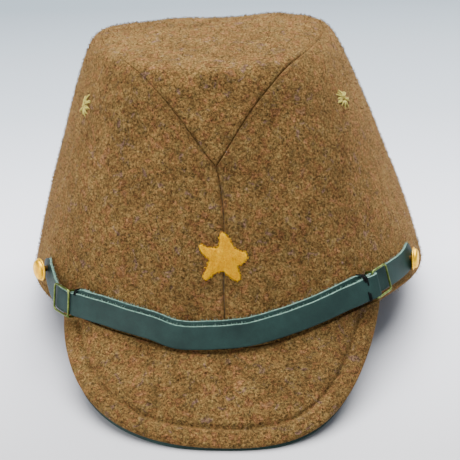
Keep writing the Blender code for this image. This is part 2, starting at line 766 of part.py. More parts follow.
def star():
    """The cloth star, which follows the wall behind it."""
    corners = []
    for corner in STAR_CORNERS:
        angle, radius = math.radians(corner.angle), STAR_DIAMETER / 2 * corner.reach
        corners.append((radius * math.cos(angle), radius * math.sin(angle)))
    points = []
    for off in (FIT + STAR_CLOTH, FIT):
        points += [wall_place(x, STAR_HEIGHT + y, 0, off + FIT / 2) for x, y in corners + [(0, 0)]]
    count = len(corners)
    back = count + 1
    faces = []
    for corner in range(count):
        beside = (corner + 1) % count
        faces.append((corner, beside, count))
        faces.append((back + beside, back + corner, back + count))
        faces.append((corner, back + corner, back + beside, beside))
    return new_piece("star", points, faces, yellow_cloth)


def eyelet(name, panel, turn):
    """An air hole: thread worked round and through a hole in the cloth."""
    place = wall_matrix(turn, EYELET_RISE, 0)
    hole, wide, barrel = EYELET_HOLE / 2, EYELET_THREAD_WIDTH / 2, EYELET_HOLE / 2 + EYELET_BARREL
    face, back = FIT, -CLOTH - FIT
    profile = [(hole, face + EYELET_THREAD), (hole, back - EYELET_THREAD / 2), (wide * 0.8, back - EYELET_THREAD / 2)]
    profile += [(wide * 0.8, back), (barrel, back), (barrel, face), (wide, face)]
    profile.append((wide * 0.92, face + EYELET_THREAD))
    turned_piece(name, profile, 14, thread, place, closed=True)
    drill(panel, name + "_hole", 2 * (barrel + FIT), place)


star()
eyelet("eyelet_left", crown_left, -EYELET_TURN_LEFT)
eyelet("eyelet_right", crown_right, EYELET_TURN_RIGHT)


def centre_over_origin():
    """Slides the cap over the surface until the middle of its box is at the origin."""
    bpy.context.view_layer.update()
    pieces = [piece for piece in cap.children if not piece.hide_render]
    points = [piece.matrix_world @ vertex.co for piece in pieces for vertex in piece.data.vertices]
    for axis in (0, 1):
        places = [point[axis] for point in points]
        cap.location[axis] -= (min(places) + max(places)) / 2


centre_over_origin()
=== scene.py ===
"""The looks of a wool field cap with a short peak and a leather chin strap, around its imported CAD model."""

import math

import bpy
import numpy as np
from mathutils import Matrix, Vector, noise


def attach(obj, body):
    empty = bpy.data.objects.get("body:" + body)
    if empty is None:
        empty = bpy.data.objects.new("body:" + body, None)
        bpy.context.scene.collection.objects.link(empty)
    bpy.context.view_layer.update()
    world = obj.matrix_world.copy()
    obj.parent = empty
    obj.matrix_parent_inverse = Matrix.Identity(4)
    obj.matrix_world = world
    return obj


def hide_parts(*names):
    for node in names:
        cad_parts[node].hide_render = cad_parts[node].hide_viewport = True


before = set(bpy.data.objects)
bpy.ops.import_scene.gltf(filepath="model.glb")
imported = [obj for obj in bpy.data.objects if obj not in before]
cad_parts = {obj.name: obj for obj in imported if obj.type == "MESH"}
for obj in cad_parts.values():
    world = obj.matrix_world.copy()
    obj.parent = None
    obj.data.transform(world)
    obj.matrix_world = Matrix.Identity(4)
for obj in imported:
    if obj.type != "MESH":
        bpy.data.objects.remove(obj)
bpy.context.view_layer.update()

# The crown's cloth. The real crown is heathered brown wool, about 2 mm thick and felted, so that no weave
# shows. Two side panels are sewn together up the front and the back, and a leaf-shaped top panel is sewn in
# above them, with a point at the front and at the back. Its shape is the CAD model's, from the same sizes.
RIM_WIDTH = 0.192
RIM_FRONT = 0.0981
RIM_BACK = 0.0981
RIM_DIP = 0.0096
RIM_LIFT_LEFT = 0.0021
RIM_LIFT_RIGHT = 0.0068
RIM_LIFT_TURN = math.radians(43)
RIM_LIFT_SPREAD = math.radians(30)
OVAL_POWER = 2.2
CROWN_HEIGHT_FRONT = 0.106
CROWN_HEIGHT_SIDE = 0.111
CROWN_HEIGHT_BACK = 0.103
TOP_WIDTH = 0.1146
TOP_FRONT = 0.0635
TOP_BACK = 0.0622
TOP_LEAN = 0.0046
TOP_PUFF = 0.0062
CLOTH = 0.002
FIT = 0.0003
LEAN_POWER = 1.3
OVER_TOP = (0.9, 1.15)  # the stages between which the cloth turns from the wall onto the top
DENT_DEPTH = 0.003
DENTS_END = (1.6, 2.0)  # the stages between which the dents fade out
SEAM_POINT_FRONT = 0.665
SEAM_POINT_BACK = 0.70
SEAM_SIDE = 1.10
SEAM_SPREAD_LEFT = math.radians(22.5)
SEAM_SPREAD_RIGHT = math.radians(23.5)
STANCE_LEAN = math.radians(10.2737)  # the cap leans back on the tip of its peak and the back of its rim
STANCE_PLACE = (0.0, 0.01943, 0.016996)

# stage, rise, inward, across, puff: as in the CAD model
LEVELS = (
    (0.00, 0.000, 0.000, 0.000, 0.00),
    (0.20, 0.200, 0.164, 0.000, 0.00),
    (0.40, 0.400, 0.345, 0.000, 0.00),
    (0.60, 0.600, 0.545, 0.000, 0.00),
    (0.80, 0.800, 0.764, 0.000, 0.00),
    (0.92, 0.915, 0.903, 0.000, 0.00),
    (1.00, 0.982, 1.000, 0.012, 0.00),
    (1.07, 1.000, 1.000, 0.080, 0.08),
    (1.30, 1.000, 1.000, 0.330, 0.45),
    (1.65, 1.000, 1.000, 0.670, 0.88),
    (2.00, 1.000, 1.000, 1.000, 1.00),
)
# turn, stage, half turn, half stage, depth as a share of DENT_DEPTH. The turns are in degrees
DENTS = (
    (2, 0.94, 13, 0.070, 0.70),
    (-26, 0.76, 9, 0.090, 0.70),
    (15, 0.76, 8, 0.120, 0.60),
    (105, 1.30, 42, 0.300, -1.00),
    (178, 1.15, 20, 0.160, 0.40),
    (-120, 0.55, 22, 0.180, 0.60),
)


def smooth_step(value, start, end):
    share = np.clip((value - start) / (end - start), 0, 1)
    return share * share * (3 - 2 * share)


def unit(vectors):
    return vectors / np.linalg.norm(vectors, axis=-1, keepdims=True)


def along_rows(rows, key):
    """The columns after the first of a table, on a smooth curve through its rows."""
    table, key = np.array(rows, float), np.asarray(key, float)
    here = np.clip(np.searchsorted(table[:, 0], key, side="right") - 1, 0, len(table) - 2)
    low, high = table[here], table[here + 1]
    before, after = table[np.maximum(here - 1, 0)], table[np.minimum(here + 2, len(table) - 1)]
    span = high[..., :1] - low[..., :1]
    share = np.clip((key[..., None] - low[..., :1]) / span, 0, 1)
    slope_low = (high - before) / (high[..., :1] - before[..., :1]) * span
    slope_high = (after - low) / (after[..., :1] - low[..., :1]) * span
    rise = high - low
    curve = low + slope_low * share + (3 * rise - 2 * slope_low - slope_high) * share**2
    curve += (slope_low + slope_high - 2 * rise) * share**3
    return np.moveaxis(curve[..., 1:], -1, 0)


def oval(turn, width, front, back):
    across, ahead = np.sin(turn), np.cos(turn)
    across = np.sign(across) * np.abs(across) ** (2 / OVAL_POWER)
    ahead = np.sign(ahead) * np.abs(ahead) ** (2 / OVAL_POWER)
    return width / 2 * across, -np.where(ahead > 0, front, back) * ahead


def rim_level(turn):
    level = -RIM_DIP * np.maximum(np.cos(turn), 0) ** 2
    for corner, lift in ((-RIM_LIFT_TURN, RIM_LIFT_LEFT), (RIM_LIFT_TURN, RIM_LIFT_RIGHT)):
        apart = (turn - corner + math.pi) % (2 * math.pi) - math.pi
        level = level + lift * np.exp(-((apart / RIM_LIFT_SPREAD) ** 2))
    return level


def top_level(turn):
    end_height = np.where(np.cos(turn) > 0, CROWN_HEIGHT_FRONT, CROWN_HEIGHT_BACK)
    return CROWN_HEIGHT_SIDE + (end_height - CROWN_HEIGHT_SIDE) * np.cos(turn) ** 2


def dent_depth(turn, stage):
    depth = 0.0
    for middle, level, half_turn, half_stage, share in DENTS:
        apart = (np.degrees(turn) - middle + 180) % 360 - 180
        depth = depth + share * np.exp(-((apart / half_turn) ** 2) - ((stage - level) / half_stage) ** 2)
    return DENT_DEPTH * depth


def crown_skin(turn, stage):
    """Points of the crown's outer face: the turn goes round from the front, and the stage up the cloth."""
    turn, stage = np.broadcast_arrays(np.asarray(turn, float), np.asarray(stage, float))
    rise, inward, across, puff = along_rows(LEVELS, stage)
    rim_x, rim_y = oval(turn, RIM_WIDTH, RIM_FRONT, RIM_BACK)
    top_x, top_y = oval(turn, TOP_WIDTH, TOP_FRONT, TOP_BACK)
    x = (rim_x + (top_x - rim_x) * inward) * (1 - across) - TOP_LEAN * np.maximum(rise, 0) ** LEAN_POWER
    y = (rim_y + (top_y - rim_y) * inward) * (1 - across)
    edge = rim_level(turn) * (1 - rise) + top_level(turn) * rise
    z = edge * (1 - across) + CROWN_HEIGHT_SIDE * across + TOP_PUFF * puff
    over_top = smooth_step(stage, *OVER_TOP)[..., None]
    outwards = np.stack([np.sin(turn), -np.cos(turn), 0 * turn], -1)
    outwards = outwards * (1 - over_top) + np.array([0, 0, 1]) * over_top
    depth = dent_depth(turn, stage) * (1 - smooth_step(stage, *DENTS_END))
    return np.stack([x, y, z], -1) - outwards * depth[..., None]


def crown_frame(turn, stage):
    """Points of the crown's outer face, with the directions around it, up it and out of it."""
    step = 1e-3
    turn, stage = np.broadcast_arrays(np.asarray(turn, float), np.asarray(stage, float))
    short = np.minimum(stage, 2 - step)
    around = unit(crown_skin(turn + step, short) - crown_skin(turn - step, short))
    upwards = unit(crown_skin(turn, short + step) - crown_skin(turn, np.maximum(short - step, 0)))
    return crown_skin(turn, stage), around, upwards, unit(np.cross(around, upwards))


def seam_stage(turn):
    """How far up the crown the top panel's seam runs. It drops to a point at the front and at the back."""
    apart = np.abs(turn)
    spread = np.where(turn < 0, SEAM_SPREAD_LEFT, SEAM_SPREAD_RIGHT)
    drop_front = (SEAM_SIDE - SEAM_POINT_FRONT) * np.exp(-apart / spread)
    drop_back = (SEAM_SIDE - SEAM_POINT_BACK) * np.exp(-(math.pi - apart) / spread)
    return SEAM_SIDE - drop_front - drop_back


def stand(points, pressed=False):
    """Leans the level cap back as it stands, and presses what is soft flat against the surface under it."""
    points = np.asarray(points, float)
    cosine, sine = math.cos(-STANCE_LEAN), math.sin(-STANCE_LEAN)
    x, y, z = points[..., 0], points[..., 1], points[..., 2]
    standing = np.stack([x, y * cosine - z * sine, y * sine + z * cosine], -1) + np.array(STANCE_PLACE)
    if pressed:
        standing[..., 2] = np.maximum(standing[..., 2], 0.0)
    return standing


def distance_to(points, line):
    """How far each point lies from a line of short straight stretches."""
    flat = points.reshape(-1, 3)
    start, way = line[:-1], line[1:] - line[:-1]
    squared = np.maximum((way * way).sum(-1), 1e-16)
    found = np.empty(len(flat))
    for first in range(0, len(flat), 1500):
        apart = flat[first : first + 1500, None] - start
        share = np.clip((apart * way).sum(-1) / squared, 0, 1)
        found[first : first + 1500] = np.linalg.norm(apart - share[..., None] * way, axis=-1).min(1)
    return found.reshape(points.shape[:-1])


def ripple(points, size):
    """Soft unevenness from -1 to 1, of about that size in metres."""
    flat = points.reshape(-1, 3) / size
    return np.array([noise.noise(Vector(point)) for point in flat]).reshape(points.shape[:-1])


def placed(name, data):
    """A new object in the scene, at the origin."""
    piece = bpy.data.objects.new(name, data)
    bpy.context.scene.collection.objects.link(piece)
    return piece


def new_piece(name, points, faces, materials, marks=None, attributes=None):
    """A smooth mesh piece. Its marks give each face's material, and its attributes one number a point."""
    mesh = bpy.data.meshes.new(name)
    mesh.from_pydata(np.asarray(points).reshape(-1, 3).tolist(), [], faces)
    for material in materials:
        mesh.materials.append(material)
    if marks is not None:
        mesh.polygons.foreach_set("material_index", marks)
    for title, values in (attributes or {}).items():
        numbers = np.asarray(values, np.float32).ravel()
        mesh.attributes.new(title, "FLOAT", "POINT").data.foreach_set("value", numbers)
    mesh.shade_smooth()
    mesh.update()
    return placed(name, mesh)


def fill(tree, socket, value):
    """Sets a socket to a value, or joins it where the value is another node's socket."""
    if isinstance(value, bpy.types.NodeSocket):
        tree.links.new(value, socket)
    else:
        socket.default_value = value


def put(tree, kind, sockets=None, **settings):
    """A new node, with its settings and what its sockets are set or joined to."""
    node = tree.nodes.new(kind)
    for title, value in settings.items():
        setattr(node, title, value)
    for title, value in (sockets or {}).items():
        fill(tree, node.inputs[title], value)
    return node


def reckon(tree, kind, first, second):
    return put(tree, "ShaderNodeMath", {0: first, 1: second}, operation=kind).outputs["Value"]


def mark_of(tree, name):
    """The number that a piece's points carry under that name."""
    return put(tree, "ShaderNodeAttribute", attribute_name=name).outputs["Fac"]


def paint(red, green, blue):
    """A colour as a photograph gives it, 0 to 255, turned into the shader's own numbers."""
    shares = [channel / 255 for channel in (red, green, blue)]
    return (*[share / 12.92 if share < 0.04045 else ((share + 0.055) / 1.055) ** 2.4 for share in shares], 1)


def ramp(tree, factor, *stops):
    """A colour ramp through its stops. Each is a position and the three parts of a colour."""
    node = put(tree, "ShaderNodeValToRGB", {"Fac": factor})
    elements = node.color_ramp.elements
    while len(elements) < len(stops):
        elements.new(1)
    for element, (position, *color) in zip(elements, stops):
        element.position, element.color = position, paint(*color)
    return node.outputs["Color"]


def mottle(tree, scale, detail=2.0, roughness=0.6, shift=(0, 0, 0), stretch=(1, 1, 1), warp=0.0):
    """Noise on the object's own coordinates, with scale in features a metre."""
    place = put(tree, "ShaderNodeTexCoord").outputs["Object"]
    sockets = {"Vector": place, "Location": shift, "Scale": stretch}
    place = put(tree, "ShaderNodeMapping", sockets).outputs["Vector"]
    sockets = {"Vector": place, "Scale": scale, "Detail": detail, "Roughness": roughness, "Distortion": warp}
    return put(tree, "ShaderNodeTexNoise", sockets).outputs["Fac"]


def by_identifier(sockets, identifier):
    return next(socket for socket in sockets if socket.identifier == identifier)


def times(tree, first, second, share=1.0):
    """One colour multiplied by another, in full or in part."""
    node = put(tree, "ShaderNodeMix", data_type="RGBA", blend_type="MULTIPLY")
    for identifier, value in (("Factor_Float", share), ("A_Color", first), ("B_Color", second)):
        fill(tree, by_identifier(node.inputs, identifier), value)
    return by_identifier(node.outputs, "Result_Color")


def new_finish(name, **sockets):
    """A material, with its tree and its shader."""
    material = bpy.data.materials.new(name)
    material.use_nodes = True
    shader = material.node_tree.nodes["Principled BSDF"]
    for title, value in sockets.items():
        shader.inputs[title.replace("_", " ")].default_value = value
    return material, material.node_tree, shader


def coat(tree, shader, color, grain, distance, strength):
    """Gives a shader its colour and a raised grain."""
    tree.links.new(color, shader.inputs["Base Color"])
    bump = put(tree, "ShaderNodeBump", {"Height": grain, "Distance": distance, "Strength": strength})
    tree.links.new(bump.outputs["Normal"], shader.inputs["Normal"])


def heather(tree):
    """The wool's mixed dyes in patches of a few millimetres, darkened by the painted shade that each point's
    shade mark carries.
    """
    hues = mottle(tree, 260, 2.4, 0.55, (0.3, 0.1, 0.7), warp=0.6)
    dyes = ((0.30, 160, 128, 113), (0.39, 152, 130, 78), (0.48, 163, 132, 83))
    dyes += ((0.56, 158, 126, 75), (0.64, 171, 124, 82), (0.74, 170, 135, 100))
    patches = mottle(tree, 150, 3.0, 0.65, (0.8, 0.2, 0.4))
    patches = ramp(tree, patches, (0.36, 222, 218, 213), (0.62, 255, 255, 255))
    clouds = ramp(tree, mottle(tree, 50, 3.0, 0.6), (0.36, 227, 223, 218), (0.64, 255, 253, 250))
    # painted shade: the colour keeps one less the shade mark
    unshaded = reckon(tree, "SUBTRACT", 1.0, mark_of(tree, "shade"))
    return times(tree, times(tree, times(tree, ramp(tree, hues, *dyes), patches), clouds), unshaded)


def wool_finish():
    sheen = {"Sheen_Weight": 0.22, "Sheen_Roughness": 0.45, "Sheen_Tint": paint(238, 184, 118)}
    wool, tree, shader = new_finish("heathered wool", Roughness=0.95, Specular_IOR_Level=0.1, **sheen)
    grain = mottle(tree, 980, 4.0, 0.8, (0.5, 0.9, 0.2), warp=0.7)
    specks = ((0.33, 56, 50, 43), (0.46, 148, 142, 134), (0.55, 200, 196, 190), (0.65, 252, 252, 252))
    coat(tree, shader, times(tree, heather(tree), ramp(tree, grain, *specks)), grain, 0.0006, 0.8)
    return wool


wool = wool_finish()

HEM_ROUND = 0.0009
HEM_UPRIGHT = 0.004  # how far up the cloth's thickness turns from level at the hem to square with its face
SEAM_GAP = 0.0001  # between each panel and the middle of the top seam
SEAM_ROLL = 0.0013  # how far the cloth rolls down into a seam, and over what width
SEAM_ROLL_WIDTH = 0.0019
SEAM_BAND = 0.0003  # the allowance pressed open behind a seam lifts the cloth this much on both sides
SEAM_BAND_WIDTH = 0.0065
SEAM_BAND_FADE = 0.003
SEAM_LIP_LEFT = 0.0001  # the side panels stand a little proud of the top panel at its seam
SEAM_LIP_RIGHT = 0.0005
SEAM_LIP_WIDTH = 0.0022
SEAM_SHADE = 0.22  # painted shade in a seam's groove: how much darker its cloth is painted there, and over what width
SEAM_SHADE_WIDTH = 0.0013
SEAM_NAP_LOSS = 0.35  # the share of the nap that is missing in a seam, and where it comes back beside it
SEAM_NAP_BACK = (0.0006, 0.0022)
PINCH_LEFT = 0.06  # the share of the roll that is left where the top seam turns flat along the crown's edge
PINCH_RIGHT = 0.7
PINCH_TURNS_LEFT = np.radians([16, 28])  # the turns between which it lessens, or at the back grows again
PINCH_TURNS_RIGHT = np.radians([40, 60])
PINCH_TURNS_BACK = np.radians([130, 155])
# stage up the front, how far the middle seam wanders to +X there
SEAM_SWAY = (
    (0.000, -0.0008), (0.220, -0.0006), (0.300, 0.0002), (0.480, 0.0013), (0.580, 0.0009),
    (0.640, 0.0001), (0.665, -0.0006), (1.000, -0.0006), (2.000, 0.0000),
)
SEAM_SWAY_WIDTH = 0.02
RIPPLES = ((0.045, 0.0005), (0.016, 0.00022))  # sizes and depths of the cloth's soft unevenness
RIPPLES_FROM_SEAM = 0.01
NEAR_SEAM = (0.00012, 0.0003, 0.00055, 0.00085, 0.0012, 0.0018, 0.0026)
COLUMN_STEP = math.radians(1.25)
PANEL_SPAN = 0.1  # about how far a panel reaches, to place its rows, and how far apart they are
ROW_STEP = 0.0016
TOP_LAST_ROW = 0.985  # the share of the way to the top panel's middle where its rows end
ROWS_NEAR_SEAM = (0.0, 0.0002, 0.0005, 0.0009, 0.0015, 0.0024)

seam_turns = np.radians(np.arange(-180, 180.01, 0.5))
top_seam = crown_skin(seam_turns, seam_stage(seam_turns))
front_seam = crown_skin(0.0, np.linspace(0, SEAM_POINT_FRONT, 80))
back_seam = crown_skin(math.pi, np.linspace(0, SEAM_POINT_BACK, 80))
near_turns = [math.asin((2 * across / RIM_WIDTH) ** (OVAL_POWER / 2)) for across in NEAR_SEAM]
half_turns = np.array(
    near_turns
    + list(np.arange(2 * COLUMN_STEP, math.pi - 2 * COLUMN_STEP, COLUMN_STEP))
    + [math.pi - turn for turn in reversed(near_turns)]
)


def rolled(apart, pinch=1.0):
    """How far the cloth's face lies above its plain level at a distance from a seam."""
    roll = 1 - np.sqrt(1 - np.clip(1 - apart / SEAM_ROLL_WIDTH, 0, 1) ** 2)
    band = 1 - smooth_step(apart, SEAM_BAND_WIDTH, SEAM_BAND_WIDTH + SEAM_BAND_FADE)
    return SEAM_BAND * band - SEAM_ROLL * roll * pinch


def top_seam_pinch(turn):
    """The top seam is drawn in deep on the crown's front and back, and lies flatter at its sides."""
    left = 1 - (1 - PINCH_LEFT) * smooth_step(-turn, *PINCH_TURNS_LEFT)
    right = 1 - (1 - PINCH_RIGHT) * smooth_step(turn, *PINCH_TURNS_RIGHT)
    return np.maximum(np.where(turn < 0, left, right), smooth_step(np.abs(turn), *PINCH_TURNS_BACK))


def swayed(point, around, turn, stage):
    """Moves the cloth sideways along itself near the front's middle, where its seam isn't quite straight."""
    near = np.exp(-((turn * RIM_WIDTH / 2 / SEAM_SWAY_WIDTH) ** 2))
    return point + around * (along_rows(SEAM_SWAY, stage)[0] * near)[..., None]


def nap_near(apart, pinch=1.0):
    """Little nap stands up inside a seam that is drawn in."""
    return 1 - SEAM_NAP_LOSS * pinch * (1 - smooth_step(apart, *SEAM_NAP_BACK))


# Painted shade along a seam, where the cloth rolls down into its groove
def seam_shade(apart, pinch=1.0):
    return SEAM_SHADE * pinch * np.exp(-((apart / SEAM_SHADE_WIDTH) ** 2))


def uneven(points):
    return sum(depth * ripple(points, size) for size, depth in RIPPLES)


def graded(length, near, step):
    """Distances from 0 to a length: close together at both ends, and then a step apart."""
    count = max(int((length - 2 * near[-1]) / step), 2)
    between = np.linspace(near[-1], length - near[-1], count + 1)[1:-1]
    return np.array([*near, *between, *[length - one for one in reversed(near)]]) / length


panel_rows = graded(PANEL_SPAN, ROWS_NEAR_SEAM, ROW_STEP)


def side_panel(name, hand):
    turns = half_turns if hand > 0 else -half_turns[::-1]
    turn = turns[:, None] + 0 * panel_rows
    stage = (seam_stage(turns) - SEAM_GAP / CROWN_HEIGHT_SIDE)[:, None] * panel_rows
    point, around, _, out = crown_frame(turn, stage)
    above_hem = stage * (top_level(turn) - rim_level(turn))
    level_out = unit(out * np.array([1, 1, 0]))
    out = unit(level_out + (out - level_out) * smooth_step(above_hem, 0, HEM_UPRIGHT)[..., None])
    to_top = distance_to(point, top_seam)
    to_middle = np.minimum(distance_to(point, front_seam), distance_to(point, back_seam))
    to_seam = np.minimum(to_top, to_middle)
    lip = SEAM_LIP_LEFT if hand < 0 else SEAM_LIP_RIGHT
    pinch = top_seam_pinch(turn)
    nap = nap_near(to_top, pinch) * nap_near(to_middle)
    # painted shade along the top and middle seams
    shade = seam_shade(to_top, pinch) + seam_shade(to_middle)
    relief = rolled(to_top, pinch) + rolled(to_middle) + lip * np.exp(-((to_top / SEAM_LIP_WIDTH) ** 2))
    relief += uneven(point) * smooth_step(to_seam, 0, RIPPLES_FROM_SEAM)
    hem = HEM_ROUND * (1 - np.sqrt(1 - np.clip(1 - above_hem / HEM_ROUND, 0, 1) ** 2))
    point = swayed(point, around, turn, stage)
    outer = point + out * (relief - hem)[..., None]
    inner = point - out * (CLOTH - hem)[..., None]
    return cloth_shell(name, outer, inner, nap, shade)


def cloth_shell(name, outer, inner, nap, shade):
    """A panel of cloth from two grids of points, closed along its four edges."""
    columns, height = nap.shape
    faces, back = [], columns * height
    for column in range(columns - 1):
        for row in range(height - 1):
            corner = column * height + row
            quad = (corner, corner + height, corner + height + 1, corner + 1)
            faces += [quad, tuple(back + point for point in reversed(quad))]
    edge = [column * height for column in range(columns)]
    edge += [(columns - 1) * height + row for row in range(1, height)]
    edge += [column * height + height - 1 for column in range(columns - 2, -1, -1)]
    edge += [row for row in range(height - 2, 0, -1)]
    for here, there in zip(edge, edge[1:] + edge[:1]):
        faces.append((there, here, back + here, back + there))
    points = stand(np.concatenate([outer.reshape(-1, 3), inner.reshape(-1, 3)]), pressed=True)
    marks = {"nap": np.concatenate([nap.ravel(), np.zeros(back)]), "shade": np.tile(shade.ravel(), 2)}
    return new_piece(name, points, faces, [wool], attributes=marks)


def top_panel(name):
    shares = panel_rows[panel_rows < TOP_LAST_ROW]
    turns = np.concatenate([-half_turns[::-1], half_turns])
    lower = seam_stage(turns) + SEAM_GAP / CROWN_HEIGHT_SIDE
    stage = lower + (2 - lower) * shares[:, None]
    turn = turns + 0 * stage
    point, around, _, out = crown_frame(turn, stage)
    to_seam = distance_to(point, top_seam)
    pinch = top_seam_pinch(turn)
    relief = rolled(to_seam, pinch) + uneven(point) * smooth_step(to_seam, 0, RIPPLES_FROM_SEAM)
    point = swayed(point, around, turn, stage)
    middle, _, _, _ = crown_frame(0.0, 2.0)
    middle_height = float(uneven(middle[None])[0])
    rows, columns = turn.shape
    outer = (point + out * relief[..., None]).reshape(-1, 3)
    outer = np.concatenate([outer, [middle + [0, 0, middle_height]]])
    inner = np.concatenate([(point - out * CLOTH).reshape(-1, 3), [middle - [0, 0, CLOTH]]])
    faces, back = [], len(outer)
    for column in range(columns):
        beside = (column + 1) % columns
        for row in range(rows - 1):
            low, high = row * columns, (row + 1) * columns
            quad = (low + column, low + beside, high + beside, high + column)
            faces += [quad, tuple(back + one for one in reversed(quad))]
        last = (rows - 1) * columns
        faces.append((last + column, last + beside, back - 1))
        faces.append((back + last + beside, back + last + column, 2 * back - 1))
        faces.append((beside, column, back + column, back + beside))
    nap = np.concatenate([nap_near(to_seam, pinch).ravel(), [1.0], np.zeros(back)])
    # painted shade along the top seam, on both faces
    shade = np.tile(np.concatenate([seam_shade(to_seam, pinch).ravel(), [0.0]]), 2)
    points = stand(np.concatenate([outer, inner]))
    return new_piece(name, points, faces, [wool], attributes={"nap": nap, "shade": shade})


side_left = side_panel("side_panel_left", -1)
side_right = side_panel("side_panel_right", 1)
top = top_panel("top_panel")
for panel, node in ((side_left, "crown_side_left"), (side_right, "crown_side_right"), (top, "crown_top")):
    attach(panel, "root")
    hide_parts(node)

# The crown's nap. It is the loose ends of the wool's own fibres, raised as the cloth was felted. They lie
# nearly flat on its face and roughen its outline.


def new_tree(name, **sizes):
    """A geometry tree with named inputs, each given as its kind of socket and its first value."""
    tree = bpy.data.node_groups.new(name, "GeometryNodeTree")
    tree.interface.new_socket("Geometry", in_out="INPUT", socket_type="NodeSocketGeometry")
    for title, (kind, value) in sizes.items():
        socket = tree.interface.new_socket(title, in_out="INPUT", socket_type="NodeSocket" + kind)
        if value is not None:
            socket.default_value = value
    tree.interface.new_socket("Geometry", in_out="OUTPUT", socket_type="NodeSocketGeometry")
    return tree, put(tree, "NodeGroupInput").outputs


def chance(tree, kind, low, high, seed):
    """A random number or vector for each point, from a fixed seed."""
    node = put(tree, "FunctionNodeRandomValue", data_type=kind)
    ends = {"FLOAT": ("Min_001", "Max_001", "Value_001"), "FLOAT_VECTOR": ("Min", "Max", "Value")}[kind]
    for identifier, value in ((ends[0], low), (ends[1], high), ("Seed", seed)):
        fill(tree, by_identifier(node.inputs, identifier), value)
    return by_identifier(node.outputs, ends[2])


def vector_of(tree, **parts):
    return put(tree, "ShaderNodeCombineXYZ", parts).outputs["Vector"]


def fibre_tree():
    """Short bent fibres on a face, as many as its nap mark says, each with its own tone."""
    tree, given = new_tree(
        "short fibres",
        Density=("Float", 360000.0),
        Length=("Float", 0.0013),
        Thickness=("Float", 0.00013),
        Lean=("Float", 1.1),
        Most=("Float", 1.5),
        Seed=("Int", 1),
        Finish=("Material", None),
    )
    nap = put(tree, "GeometryNodeInputNamedAttribute", {"Name": "nap"}, data_type="FLOAT")
    density = reckon(tree, "MULTIPLY", given["Density"], nap.outputs["Attribute"])
    sockets = {"Mesh": given["Geometry"], "Density": density, "Seed": given["Seed"]}
    spread = put(tree, "GeometryNodeDistributePointsOnFaces", sockets, distribute_method="RANDOM").outputs
    line = bent_line(tree, 2, (0, 0, -0.12), (0, 0, 0.2), (0, 0.1, 0.6), (0, 0.35, 0.9))
    along = put(tree, "GeometryNodeSplineParameter").outputs["Factor"]
    taper = put(tree, "ShaderNodeMapRange", {"Value": along, "To Min": 1.0, "To Max": 0.35}).outputs["Result"]
    line = put(tree, "GeometryNodeSetCurveRadius", {"Curve": line, "Radius": taper}).outputs["Curve"]
    half = reckon(tree, "MULTIPLY", reckon(tree, "DIVIDE", given["Thickness"], given["Length"]), 0.5)
    fibre = tube_node(tree, line, 3, half)
    size = reckon(tree, "MULTIPLY", given["Length"], chance(tree, "FLOAT", 0.6, 1.3, 2))
    sockets = {"Points": spread["Points"], "Instance": fibre, "Scale": size, "Rotation": spread["Rotation"]}
    laid = put(tree, "GeometryNodeInstanceOnPoints", sockets).outputs["Instances"]
    laid = turned_by(tree, laid, chance(tree, "FLOAT_VECTOR", (0, 0, 0), (0, 0, 2 * math.pi), 3))
    laid = turned_by(tree, laid, vector_of(tree, X=chance(tree, "FLOAT", given["Lean"], given["Most"], 4)))
    sockets = {"Geometry": laid, "Name": "tone", "Value": chance(tree, "FLOAT", 0.0, 1.0, 5)}
    laid = put(tree, "GeometryNodeStoreNamedAttribute", sockets, data_type="FLOAT", domain="INSTANCE")
    return finish_tree(tree, laid.outputs["Geometry"], given["Finish"])


def bent_line(tree, steps, start, start_handle, end_handle, end):
    sockets = {"Resolution": steps, "Start": start, "Start Handle": start_handle, "End Handle": end_handle}
    sockets["End"] = end
    return put(tree, "GeometryNodeCurvePrimitiveBezierSegment", sockets, mode="POSITION").outputs["Curve"]


def tube_node(tree, line, sides, half):
    circle = put(tree, "GeometryNodeCurvePrimitiveCircle", {"Resolution": sides, "Radius": half})
    sockets = {"Curve": line, "Profile Curve": circle.outputs["Curve"], "Fill Caps": True}
    return put(tree, "GeometryNodeCurveToMesh", sockets).outputs["Mesh"]


def turned_by(tree, instances, rotation):
    sockets = {"Instances": instances, "Rotation": rotation, "Local Space": True}
    return put(tree, "GeometryNodeRotateInstances", sockets).outputs["Instances"]


def finish_tree(tree, instances, finish):
    whole = put(tree, "GeometryNodeRealizeInstances", {"Geometry": instances}).outputs["Geometry"]
    whole = put(tree, "GeometryNodeSetMaterial", {"Geometry": whole, "Material": finish}).outputs["Geometry"]
    put(tree, "NodeGroupOutput", {"Geometry": whole})
    return tree


def kept(name, maker, finish):
    """What an object's modifier or curve makes, kept as a plain mesh piece of one finish."""
    graph = bpy.context.evaluated_depsgraph_get()
    made = maker.evaluated_get(graph)
    mesh = bpy.data.meshes.new_from_object(made, preserve_all_data_layers=True, depsgraph=graph)
    bpy.data.objects.remove(maker)
    mesh.name = name
    mesh.materials.clear()
    mesh.materials.append(finish)
    mesh.polygons.foreach_set("material_index", np.zeros(len(mesh.polygons), np.int32))
    mesh.shade_smooth()
    return placed(name, mesh)


def grow(name, tree, base, **sizes):
    """Runs a geometry tree on a piece's mesh, and keeps what it makes."""
    maker = placed(name, base)
    modifier = maker.modifiers.new("grow", "NODES")
    modifier.node_group = tree
    for socket in tree.interface.items_tree:
        if socket.item_type == "SOCKET" and socket.in_out == "INPUT" and socket.name in sizes:
            modifier[socket.identifier] = sizes[socket.name]
    return kept(name, maker, sizes["Finish"])


def fibre_finish(name, *stops, under=None):
    """Fibres of mixed tones, which may also take on the colour that the cloth under them has there."""
    fibre, tree, shader = new_finish(name, Roughness=0.9, Specular_IOR_Level=0.1)
    color = ramp(tree, mark_of(tree, "tone"), *stops)
    if under:
        color = times(tree, color, under(tree))
    tree.links.new(color, shader.inputs["Base Color"])
    return fibre


